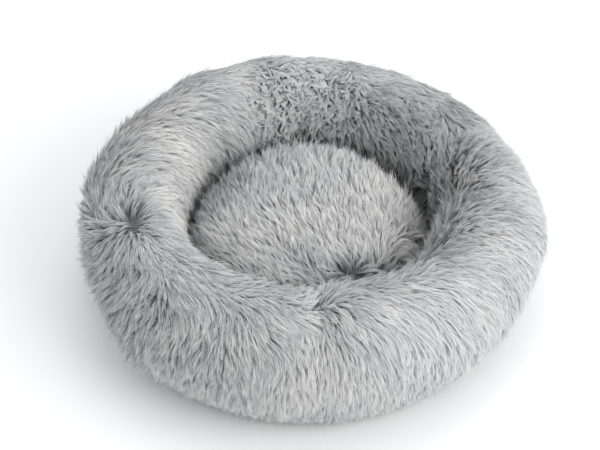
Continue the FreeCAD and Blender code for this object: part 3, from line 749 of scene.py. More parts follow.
    def weave_mesh(self, name: str, path: Array, normals: Array, thickness: Array, roll: Array,
                   shade: Array, frost: Array) -> bpy.types.Object:
        """Make one mesh of closed three-sided fibres along their paths.

        Args:
            name: Name of the piece.
            path: Fibres by points by three.
            normals: Unit normals at the roots.
            thickness: Greatest thickness of each fibre.
            roll: Turn of each fibre's section, in radians.
            shade: Shade of each fibre, from 0 to 1.
            frost: Frosting of each fibre, from 0 to 1.

        Returns:
            The new piece, with its shade, frosting and height along the fibre as attributes
            and a map of the first two by height.
        """
        count = len(path)
        taper = np.interp(np.arange(self.segments) / self.segments, (0, 0.4, 0.8),
                          (0.42, 0.5, 0.3))
        rings = []
        for index in range(self.segments):
            ahead = path[:, index + 1] - path[:, max(index - 1, 0)]
            tangent = unit(ahead)
            side = unit(np.cross(tangent, normals) + 1e-9)
            other = np.cross(tangent, side)
            for corner in range(self.sides):
                angle = roll + 2 * math.pi * corner / self.sides
                offset = side * np.cos(angle)[:, None] + other * np.sin(angle)[:, None]
                rings.append(path[:, index] + offset * (taper[index] * thickness)[:, None])
        rings.append(path[:, self.segments])
        per_fibre = self.sides * self.segments + 1
        points = np.stack(rings, axis=1).reshape(-1, 3)

        faces = [(2, 1, 0)]
        for index in range(self.segments - 1):
            for corner in range(self.sides):
                a = index * self.sides + corner
                b = index * self.sides + (corner + 1) % self.sides
                faces += [(a, b, b + self.sides), (a, b + self.sides, a + self.sides)]
        last = (self.segments - 1) * self.sides
        tip = per_fibre - 1
        faces += [(last + corner, last + (corner + 1) % self.sides, tip)
                  for corner in range(self.sides)]
        pattern = np.array(faces)
        corners = (pattern[None] + (np.arange(count) * per_fibre)[:, None, None]).reshape(-1)

        height = np.append(np.repeat(np.arange(self.segments), self.sides), self.segments)
        height = height / self.segments
        across = np.append(np.tile(np.arange(self.sides), self.segments), 1) / self.sides
        tone = np.floor(shade * self.tones)
        band = np.floor(frost * self.frosts)
        column = band * self.tones + tone
        map_u = (column[:, None] + 0.2 + 0.6 * across[None]) / (self.tones * self.frosts)
        map_v = 0.02 + 0.96 * np.repeat(height[None], count, axis=0)

        mesh = bpy.data.meshes.new(name)
        mesh.vertices.add(len(points))
        mesh.vertices.foreach_set("co", points.astype(np.float32).ravel())
        mesh.loops.add(len(corners))
        mesh.loops.foreach_set("vertex_index", corners.astype(np.int32))
        mesh.polygons.add(len(corners) // 3)
        mesh.polygons.foreach_set("loop_start", np.arange(0, len(corners), 3, dtype=np.int32))
        mesh.update(calc_edges=True)
        mesh.shade_smooth()
        layer = mesh.uv_layers.new(name="OFBake")
        flat = np.stack([map_u.ravel()[corners], map_v.ravel()[corners]], -1)
        layer.data.foreach_set("uv", flat.astype(np.float32).ravel())
        for title, values in (
                ("fibre_height", np.tile(height, count)),
                ("fibre_shade", np.repeat((tone + 0.5) / self.tones, per_fibre)),
                ("fibre_frost", np.repeat((band + 0.5) / self.frosts, per_fibre))):
            attribute = mesh.attributes.new(title, "FLOAT", "POINT")
            attribute.data.foreach_set("value", values.astype(np.float32))
        mesh.normals_split_custom_set_from_vertices(
            self.soft_normals(np.stack(rings, axis=1), path, normals).reshape(-1, 3))
        piece = bpy.data.objects.new(name, mesh)
        bpy.context.scene.collection.objects.link(piece)
        return piece

    def soft_normals(self, rings: Array, path: Array, normals: Array) -> Array:
        """Normals between the fibre's own and the cloth's, so that light falls softly.

        Args:
            rings: Fibres by vertices by three.
            path: Fibres by path points by three.
            normals: Unit normals of the cloth at the roots.

        Returns:
            Unit normals, in the shape of rings.
        """
        middles = np.repeat(path[:, :self.segments], self.sides, axis=1)
        own = np.concatenate([unit(rings[:, :-1] - middles), normals[:, None]], axis=1)
        return unit(own * (1 - self.softness) + normals[:, None] * self.softness)


# ---------------------------------------------------------------- shader arithmetic


class Tone:
    """One shader socket that can be used in Python arithmetic."""

    def __init__(self, shader: "Shader", socket: bpy.types.NodeSocket) -> None:
        """Wrap a socket of the shader."""
        self.shader = shader
        self.socket = socket

    def _math(self, operation: str, *values: object) -> "Tone":
        """Run a Math node.

        Args:
            operation: Blender's name of the operation.
            values: Numbers or tones that it works on.

        Returns:
            The result.
        """
        node = self.shader.node("ShaderNodeMath", {"operation": operation},
                                dict(enumerate(values)))
        return Tone(self.shader, node.outputs[0])

    def __add__(self, other: object) -> "Tone":
        """Sum with what stands on the right."""
        return self._math("ADD", self, other)

    def __radd__(self, other: object) -> "Tone":
        """Sum with what stands on the left."""
        return self._math("ADD", other, self)

    def __sub__(self, other: object) -> "Tone":
        """This less what stands on the right."""
        return self._math("SUBTRACT", self, other)

    def __rsub__(self, other: object) -> "Tone":
        """What stands on the left, less this."""
        return self._math("SUBTRACT", other, self)

    def __mul__(self, other: object) -> "Tone":
        """Product with what stands on the right."""
        return self._math("MULTIPLY", self, other)

    def __rmul__(self, other: object) -> "Tone":
        """Product with what stands on the left."""
        return self._math("MULTIPLY", other, self)

    def __truediv__(self, other: object) -> "Tone":
        """This over what stands on the right."""
        return self._math("DIVIDE", self, other)

    def __pow__(self, other: object) -> "Tone":
        """This raised to a power."""
        return self._math("POWER", self, other)

    def sine(self) -> "Tone":
        """Sine of the value."""
        return self._math("SINE", self)

    def ease(self, low: float, high: float) -> "Tone":
        """Ease from 0 to 1.

        Args:
            low: Value up to which the result is 0.
            high: Value from which the result is 1.

        Returns:
            The eased value.
        """
        node = self.shader.node("ShaderNodeMapRange", {"interpolation_type": "SMOOTHSTEP"},
                                {"Value": self, "From Min": low, "From Max": high})
        return Tone(self.shader, node.outputs[0])


class Shader:
    """A material's node tree, with one Principled surface."""

    def __init__(self, name: str) -> None:
        """Make the material.

        Args:
            name: Name of the material.
        """
        self.material = bpy.data.materials.new(name)
        self.material.use_nodes = True
        self.tree = self.material.node_tree
        self.surface = next(node for node in self.tree.nodes if node.type == "BSDF_PRINCIPLED")

    def node(self, kind: str, settings: dict | None = None,
             inputs: dict | None = None) -> bpy.types.Node:
        """Add a node.

        Args:
            kind: Blender's name of the node's type.
            settings: Values of the node's own properties.
            inputs: Numbers, colours or tones for its inputs, by name or place.

        Returns:
            The node.
        """
        node = self.tree.nodes.new(kind)
        for title, value in (settings or {}).items():
            setattr(node, title, value)
        for title, value in (inputs or {}).items():
            self.feed(node.inputs[title], value)
        return node

    def feed(self, socket: bpy.types.NodeSocket, value: object) -> None:
        """Link a tone to a socket, or set a constant on it.

        Args:
            socket: The socket.
            value: A tone, a number, a colour or a vector.
        """
        if isinstance(value, Tone):
            self.tree.links.new(value.socket, socket)
        elif isinstance(value, (tuple, list)) and len(value) == 3 and socket.type == "RGBA":
            socket.default_value = (*value, 1.0)
        else:
            socket.default_value = value

    def place(self) -> Tone:
        """Place on the object, in metres."""
        return Tone(self, self.node("ShaderNodeTexCoord").outputs["Object"])

    def parts(self, vector: Tone) -> tuple[Tone, Tone, Tone]:
        """The three components of a vector."""
        node = self.node("ShaderNodeSeparateXYZ", None, {0: vector})
        return tuple(Tone(self, output) for output in node.outputs)

    def attribute(self, name: str) -> Tone:
        """A mesh attribute's value."""
        return Tone(self, self.node("ShaderNodeAttribute", {"attribute_name": name}).outputs["Fac"])

    def noise(self, scale: float, detail: float = 3.0, roughness: float = 0.55,
              at: Tone | None = None) -> Tone:
        """Cloudy noise between 0 and 1.

        Args:
            scale: Clouds per metre.
            detail: Number of finer layers.
            roughness: Strength of the finer layers.
            at: Where it is read, or None for the place on the object.

        Returns:
            The noise.
        """
        node = self.node("ShaderNodeTexNoise", None, {
            "Vector": at or self.place(), "Scale": scale, "Detail": detail,
            "Roughness": roughness})
        return Tone(self, node.outputs["Fac"])

    def mix(self, share: object, first: object, second: object, blend: str = "MIX") -> Tone:
        """Mix two colours.

        Args:
            share: Share of the second colour, from 0 to 1.
            first: First colour.
            second: Second colour.
            blend: Blender's name of the way that they mix.

        Returns:
            The mixed colour.
        """
        node = self.node("ShaderNodeMix", {"data_type": "RGBA", "blend_type": blend},
                         {0: share, 6: first, 7: second})
        return Tone(self, node.outputs[2])

    def bump(self, height: Tone, strength: float, distance: float) -> Tone:
        """Normals raised by a height of 0 to 1.

        Args:
            height: The height.
            strength: Share of the effect.
            distance: Height in metres that 1 stands for.

        Returns:
            The normal.
        """
        node = self.node("ShaderNodeBump", None, {
            "Strength": strength, "Distance": distance, "Height": height})
        return Tone(self, node.outputs["Normal"])

    def finish(self, **inputs: object) -> bpy.types.Material:
        """Set the surface's inputs.

        Args:
            inputs: Values by the inputs' names in small letters, with _ for a space.

        Returns:
            The material.
        """
        for title, value in inputs.items():
            name = " ".join(word if word == "IOR" else word.capitalize()
                            for word in title.split("_"))
            self.feed(self.surface.inputs[name], value)
        return self.material


# ---------------------------------------------------------------- finishes


Colour = tuple[float, float, float]


@dataclass(frozen=True)
class PileFinish:
    """Two-tone pile: dark at the root and frosted towards the tip."""

    name: str = "frosted_pile"
    root: Colour = (0.066, 0.071, 0.080)
    middle: Colour = (0.300, 0.304, 0.311)
    frosted_root: Colour = (0.500, 0.505, 0.511)
    frosted_middle: Colour = (0.660, 0.663, 0.665)
    tip: Colour = (0.720, 0.725, 0.727)
    warm: Colour = (1.015, 1.0, 0.98)
    cool: Colour = (0.985, 0.998, 1.015)

    def material(self) -> bpy.types.Material:
        """Build the material.

        Returns:
            The material, with its nodes linked.
        """
        shader = Shader(self.name)
        height = shader.attribute("fibre_height")
        shade = shader.attribute("fibre_shade")
        frost = shader.attribute("fibre_frost")
        root = shader.mix(frost, self.root, self.frosted_root)
        middle = shader.mix(frost, self.middle, self.frosted_middle)
        lower = shader.mix(height.ease(0.02, 0.5), root, middle)
        frosted = shader.mix(height.ease(0.3, 0.95), lower, self.tip)
        # painted_shade deepens the darkest shades: mostly the painted shade of the patches in
        # crevices, creases and on sides turned from the key lamp, and also the dark partings of
        # whorls.
        painted_shade = 0.45 + 0.55 * shade.ease(0.0, 0.3)
        depth = (0.62 + 0.76 * shade) * painted_shade
        grey = shader.mix(1.0, frosted, self.as_grey(shader, depth), "MULTIPLY")
        cast = shader.mix(shade.ease(0.3, 0.7), self.cool, self.warm)
        colour = shader.mix(1.0, grey, cast, "MULTIPLY")
        return shader.finish(base_color=colour, roughness=0.62, sheen_weight=0.25,
                             sheen_roughness=0.5, specular_IOR_level=0.35)

    @staticmethod
    def as_grey(shader: Shader, value: Tone) -> Tone:
        """A grey of one value."""
        node = shader.node("ShaderNodeCombineColor", None, {0: value, 1: value, 2: value})
        return Tone(shader, node.outputs[0])


class Weave(Enum):
    """Way that a cloth is made."""

    PLAIN = "plain"
    KNIT = "knit"
    RIBBED = "ribbed"
    FELT = "felt"


@dataclass(frozen=True)
class ClothFinish:
    """Woven, knitted, ribbed or felted cloth."""

    name: str
    colour: Colour
    weave: Weave = Weave.PLAIN
    pitch: float = 0.9 * MM
    relief: float = 0.12 * MM
    roughness: float = 0.82
    sheen: float = 0.2
    mottle: float = 0.16

    def relief_of(self, shader: Shader) -> Tone:
        """Height of the threads.

        Args:
            shader: Shader that it is worked out in.

        Returns:
            The height, from 0 to 1.
        """
        x, y, z = shader.parts(shader.place())
        turns = 2 * math.pi / self.pitch
        if self.weave is Weave.PLAIN:
            over = ((x + z * 0.7) * turns).sine() * ((y + z * 0.7) * turns).sine()
            return over * 0.5 + 0.5
        if self.weave is Weave.KNIT:
            over = ((x + y + z) * turns).sine() * ((x - y + z * 0.5) * turns * 0.6).sine()
            return over * 0.5 + 0.5
        if self.weave is Weave.RIBBED:
            radius = (x * x + y * y) ** 0.5
            ribs = ((radius + z) * turns).sine() * 0.5 + 0.5
            crossing = (x * turns * 0.5).sine() * (y * turns * 0.5).sine() * 0.5 + 0.5
            return ribs * 0.6 + crossing * 0.4
        return shader.noise(900.0, 5.0, 0.7)

    def material(self) -> bpy.types.Material:
        """Build the material.

        Returns:
            The material, with its nodes linked.
        """
        shader = Shader(self.name)
        threads = self.relief_of(shader)
        cloudy = shader.noise(28.0, 4.0)
        dark = tuple(part * (1 - self.mottle) for part in self.colour)
        light = tuple(min(1.0, part * (1 + self.mottle)) for part in self.colour)
        base = shader.mix(cloudy, dark, light)
        # Painted shade: the colour is darker where the threads dip.
        painted_shade = tuple(part * 0.72 for part in self.colour)
        colour = shader.mix(threads.ease(0.05, 0.6), painted_shade, base)
        fuzz = shader.noise(1400.0, 2.0)
        return shader.finish(
            base_color=colour, roughness=cloudy * 0.1 + (self.roughness - 0.05),
            sheen_weight=self.sheen, sheen_roughness=0.6,
            normal=shader.bump(threads * 0.8 + fuzz * 0.2, 0.8, self.relief))


@dataclass(frozen=True)
class FibreFinish:
    """Loose white filling fibre."""

    name: str = "filling_fibre"
    colour: Colour = (0.80, 0.80, 0.785)

    def material(self) -> bpy.types.Material:
        """Build the material.

        Returns:
            The material, with its nodes linked.
        """
        shader = Shader(self.name)
        tufts = shader.noise(120.0, 8.0, 0.7)
        # Painted shade: the colour is darker in the hollows between the tufts.
        painted_tuft_shade = tuple(part * 0.74 for part in self.colour)
        return shader.finish(
            base_color=shader.mix(tufts.ease(0.3, 0.65), painted_tuft_shade, self.colour), roughness=0.95,
            sheen_weight=0.4, sheen_roughness=0.7, normal=shader.bump(tufts, 1.0, 2.5 * MM))


@dataclass(frozen=True)
class SmoothFinish:
    """Rubber, nylon or metal: a smooth stuff with slight wear."""

    name: str
    colour: Colour
    roughness: float
    metallic: float = 0.0
    grain: float = 600.0
    relief: float = 0.02 * MM
    wear: float = 0.12
    coat: float = 0.0

    def material(self) -> bpy.types.Material:
        """Build the material.

        Returns:
            The material, with its nodes linked.
        """
        shader = Shader(self.name)
        fine = shader.noise(self.grain, 4.0, 0.6)
        broad = shader.noise(60.0, 3.0)
        worn = tuple(part * (1 - self.wear) for part in self.colour)
        return shader.finish(
            base_color=shader.mix(broad.ease(0.3, 0.7), worn, self.colour),
            metallic=self.metallic, coat_weight=self.coat,
            roughness=fine * 0.16 + (self.roughness - 0.08),
            normal=shader.bump(fine, 0.5, self.relief))


@dataclass(frozen=True)
class EnamelFinish:
    """Grey enamel over zinc, chipped to bright metal in small spots."""

    name: str = "zip_enamel"
    enamel: Colour = (0.300, 0.302, 0.308)
    bright: Colour = (0.640, 0.635, 0.620)

    def material(self) -> bpy.types.Material:
        """Build the material.

        Returns:
            The material, with its nodes linked.
        """
        shader = Shader(self.name)
        chipped = shader.noise(420.0, 5.0, 0.65).ease(0.60, 0.66)
        fine = shader.noise(1500.0, 3.0)
        return shader.finish(
            base_color=shader.mix(chipped, self.enamel, self.bright), metallic=chipped * 0.9,
            roughness=fine * 0.14 + 0.27, normal=shader.bump(fine, 0.4, 0.01 * MM))


class Finishes:
    """Every material of the bed, made once."""

    def __init__(self) -> None:
        """Make the materials."""
        self.pile = PileFinish().material()
        self.backing = ClothFinish(
            "pile_backing", (0.100, 0.106, 0.118), Weave.KNIT, pitch=1.6 * MM,
            relief=0.25 * MM, roughness=0.9, sheen=0.3, mottle=0.3).material()
        self.web = ClothFinish("divider_cloth", (0.37, 0.37, 0.365), Weave.FELT).material()
        self.lining = ClothFinish(
            "nest_lining_cloth", (0.350, 0.354, 0.362), roughness=0.8, sheen=0.25,
            mottle=0.1).material()
        self.base = ClothFinish(
            "base_cloth", (0.120, 0.122, 0.128), pitch=1.1 * MM, relief=0.16 * MM,
            roughness=0.72, sheen=0.1, mottle=0.12).material()
        self.tape = ClothFinish(
            "tape_cloth", (0.198, 0.201, 0.208), Weave.RIBBED, pitch=0.8 * MM,
            relief=0.15 * MM, roughness=0.75, mottle=0.1).material()
        self.label = ClothFinish(
            "label_satin", (0.85, 0.85, 0.835), pitch=0.5 * MM, relief=0.05 * MM,
            roughness=0.45, sheen=0.3, mottle=0.05).material()
        self.thread = ClothFinish(
            "sewing_thread", (0.230, 0.234, 0.242), Weave.RIBBED, pitch=0.5 * MM,
            relief=0.06 * MM, roughness=0.6, mottle=0.08).material()
        self.fibre = FibreFinish().material()
        self.rubber = SmoothFinish("grip_rubber", (0.080, 0.081, 0.084), 0.5,
                                   coat=0.1).material()
        self.nylon = SmoothFinish("zip_nylon", (0.160, 0.163, 0.168), 0.38).material()
        self.metal = EnamelFinish().material()
        self.floor = ClothFinish(
            "floor", (0.90, 0.90, 0.90), Weave.FELT, pitch=1 * MM, relief=0.01 * MM,
            roughness=0.9, sheen=0.0, mottle=0.01).material()


def dress(piece: bpy.types.Object, body: str, material: bpy.types.Material,
          stands_for: Sequence[str] = ()) -> None:
    """Give a new piece its body, its finish and what it stands for.

    Args:
        piece: The piece.
        body: Body that it moves with.
        material: Its material.
        stands_for: Frame nodes that it is shown instead of.
    """
    piece.data.materials.clear()
    piece.data.materials.append(material)
    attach(piece, body)
    if stands_for:
        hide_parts(*stands_for)
    LOG.info("%s: %d faces on %s", piece.name, len(piece.data.polygons), body)


def refinish(node: str, material: bpy.types.Material) -> None:
    """Give a frame node a better material.

    Args:
        node: Name of the node.
        material: Its new material.
    """
    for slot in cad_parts[node].material_slots:
        slot.material = material
    LOG.info("%s: finished with %s", node, material.name)


# ---------------------------------------------------------------- ring


@dataclass
class Bolster:
    """The stuffed ring: eight lobes of pile cloth, their filling and the webs between them."""

    ring: Ring
    finishes: Finishes
    skin: float = 1.2 * MM
    fill_gap: float = 6 * MM
    density: float = 0.5e6
    widest_piece: float = math.radians(22.8)
    curly_from: float = 0.42

    def lobes(self) -> list[tuple[float, float]]:
        """Where the lobes are.

        Returns:
            First and last angle of each lobe, in radians.
        """
        starts = [math.radians(seam.angle) for seam in self.ring.seams]
        ends = starts[1:] + [starts[0] + 2 * math.pi]
        return list(zip(starts, ends))

    def build(self) -> None:
        """Build every piece of the ring."""
        for number, (start, end) in enumerate(self.lobes(), 1):
            self.build_skin(number, start, end)
            self.build_filling(number, start, end)
            self.build_web(number, start)
        self.build_pile()

    def grid(self, start: float, end: float, inset: float) -> Array:
        """Lay a grid of backing points over one lobe.

        Args:
            start: First angle of the lobe, in radians.
            end: Last angle of the lobe.
            inset: Distance inside the backing.

        Returns:
            The grid: angles by places over the section by three.
        """
        azimuths = np.linspace(start, end, max(12, round((end - start) / math.radians(1.2))))
        sections = np.linspace(HEM_OUTSIDE, HEM_NEST, 96)
        azimuth, section = (part.ravel() for part in np.meshgrid(azimuths, sections,
                                                                 indexing="ij"))
        points = self.ring.at(azimuth, section, inset)
        return points.reshape(len(azimuths), len(sections), 3)

    def build_skin(self, number: int, start: float, end: float) -> None:
        """Build the pile cloth's backing over one lobe.

        Args:
            number: Number of the lobe, from 1.
            start: First angle of the lobe, in radians.
            end: Last angle of the lobe.
        """
        piece = shell_between(f"ring_cover_{number}", self.grid(start, end, 0),
                              self.grid(start, end, self.skin))
        dress(piece, "bed", self.finishes.backing, [f"bolster_gore_{number}"])

    def seat(self, points: Array) -> Array:
        """Lowest height of the stuffing: on the wadding, and clear of the zip near the rim.

        Args:
            points: Points of the stuffing.

        Returns:
            The lowest height at each point.
        """
        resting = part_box("base_wadding")[1].z + 1.5 * MM
        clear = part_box("base_panel")[1].z + 3.5 * MM
        reach = np.hypot(points[:, 0], points[:, 1])
        return resting + (clear - resting) * smooth_step(224 * MM, 236 * MM, reach)

    def build_filling(self, number: int, start: float, end: float) -> None:
        """Build one lobe's stuffing, rounded at both ends and flat where it rests.

        Args:
            number: Number of the lobe, from 1.
            start: First angle of the lobe, in radians.
            end: Last angle of the lobe.
        """
        margin = 3.0 * MM / self.ring.radius
        azimuths = np.linspace(start + margin, end - margin, 44)
        sections = np.linspace(-math.pi / 2, 1.5 * math.pi, 72, endpoint=False)
        reach = np.minimum(azimuths - azimuths[0], azimuths[-1] - azimuths) * self.ring.radius
        near = np.clip(1 - reach / (14 * MM), 0, 1)
        narrowing = 12 * MM * (1 - np.sqrt(1 - near ** 2))
        lumps = Ripples(30 + number, 42 * MM)
        azimuth, section = (part.ravel() for part in np.meshgrid(azimuths, sections,
                                                                 indexing="ij"))
        inset = self.fill_gap + np.repeat(narrowing, len(sections))
        points = self.ring.at(azimuth, section, inset)
        points = self.ring.at(azimuth, section, inset + 1.2 * MM * (1 + lumps.at(points)))
        points[:, 2] = np.maximum(points[:, 2], self.seat(points))
        rows, columns = len(azimuths), len(sections)
        faces = grid_faces(rows, columns, closed=True)
        faces.append(tuple(range(columns))[::-1])
        faces.append(tuple((rows - 1) * columns + column for column in range(columns)))
        piece = mesh_object(f"ring_stuffing_{number}", points, faces)
        dress(piece, "bed", self.finishes.fibre, [f"bolster_fill_{number}"])

    def build_web(self, number: int, angle: float) -> None:
        """Build the cloth web that draws the ring in between two lobes.

        Args:
            number: Number of the lobe that begins there, from 1.
            angle: Angle of the web, in radians.
        """
        sections = np.linspace(-math.pi / 2, 1.5 * math.pi, 72, endpoint=False)
        shares = np.linspace(0, 1, 12)
        turned = np.full_like(sections, angle)
        rim = self.ring.at(turned, sections, 3.2 * MM)
        rim[:, 2] = np.maximum(rim[:, 2], self.seat(rim))
        middle = rim.mean(axis=0)
        sheet = middle + (rim - middle)[None] * (0.02 + 0.98 * shares)[:, None, None]
        along = np.array([-math.sin(angle), math.cos(angle), 0])
        pucker = 0.5 * MM * np.sin(9 * sections)[None] * (shares ** 3)[:, None]
        front = sheet + along * (pucker + 0.6 * MM)[..., None]
        back = sheet + along * (pucker - 0.6 * MM)[..., None]
        piece = shell_between(f"ring_web_{number}", front, back, closed=True)
        dress(piece, "bed", self.finishes.web, [f"bolster_divider_{number}"])

    def roots(self) -> tuple[Roots, Array, Array]:
        """Spread the fibres' roots over the ring.

        Returns:
            The roots, with their angles round the bed and round the section.
        """
        rng = np.random.default_rng(3)
        tries = int(0.62 * self.density * 2 * math.pi * self.ring.radius)
        round_bed, over_section = even_scatter(tries)
        azimuth = 2 * math.pi * round_bed
        section = HEM_OUTSIDE + (HEM_NEST - HEM_OUTSIDE) * over_section
        step = 1e-3
        around = (self.ring.at(azimuth + step, section) - self.ring.at(azimuth - step, section))
        over = (self.ring.at(azimuth, section + step) - self.ring.at(azimuth, section - step))
        area = np.linalg.norm(np.cross(around, over), axis=1) / (4 * step * step)
        window = 2 * math.pi * (HEM_NEST - HEM_OUTSIDE) / tries
        wanted = self.density * self.density_share(section) * area * window

        def offsets(u: float, v: float) -> tuple[Array, Array]:
            """Distances round the bed and over the section from a place."""
            across = wrapped(azimuth - math.radians(u)) * self.ring.radius
            return across, (section - math.radians(v)) * SECTION_RADIUS

        frost = tones(RING_PATCHES, offsets, tries)[1]
        kept = rng.random(tries) < wanted * (1 + 0.6 * np.clip(frost, -0.8, 0))
        azimuth, section = azimuth[kept], section[kept]
        points, normal, around, over = self.ring.frame_at(azimuth, section)
        return Roots(points, normal, around, over), azimuth, section

    @staticmethod
    def density_share(section: Array) -> Array:
        """Share of the full density: thinner deep in the nest and at the outer hem.

        Args:
            section: Angles round the ring's section.

        Returns:
            The share at each place.
        """
        nest = smooth_step(math.radians(160), math.radians(185), section)
        hem = smooth_step(math.radians(25), math.radians(50), -section)
        return 1 - 0.75 * nest - 0.3 * hem

    def build_pile(self) -> None:
        """Grow the ring's pile."""
        roots, azimuth, section = self.roots()

        def offsets(u: float, v: float) -> tuple[Array, Array]:
            """Distances round the bed and over the section from a place."""
            radius = np.hypot(roots.points[:, 0], roots.points[:, 1])
            across = wrapped(azimuth - math.radians(u)) * radius
            return across, (section - math.radians(v)) * SECTION_RADIUS

        lie = comb(RING_STROKES, RING_WHORLS, offsets, STROKE_REACH)
        patches = Ripples(21, 70 * MM)
        curly = lie.tousle > self.curly_from
        keep = []
        for number, (start, end) in enumerate(self.lobes(), 1):
            parts = math.ceil((end - start) / self.widest_piece)
            step = (end - start) / parts
            for part in range(parts):
                from_start = (azimuth - start - part * step) % (2 * math.pi)
                keep.append((f"ring_pile_{number}_{part + 1}", (from_start < step) & ~curly))
        shade, frost = tones(RING_PATCHES, offsets, len(roots.points))
        shade += 0.05 * patches.at(roots.points)
        pieces = Pile(seed=5).grow("ring pile", roots, lie, keep, shade, frost)
        part = Lie(*(values[curly] for values in lie.columns()))
        everything = [("ring_curls", np.ones(int(curly.sum()), bool))]
        pieces += Pile(seed=6, segments=4, curl=1.5, length=24 * MM).grow(
            "ring curls", roots.part(curly), part, everything, shade[curly], frost[curly])
        for piece in pieces:
            dress(piece, "bed", self.finishes.pile)


# ---------------------------------------------------------------- cushion


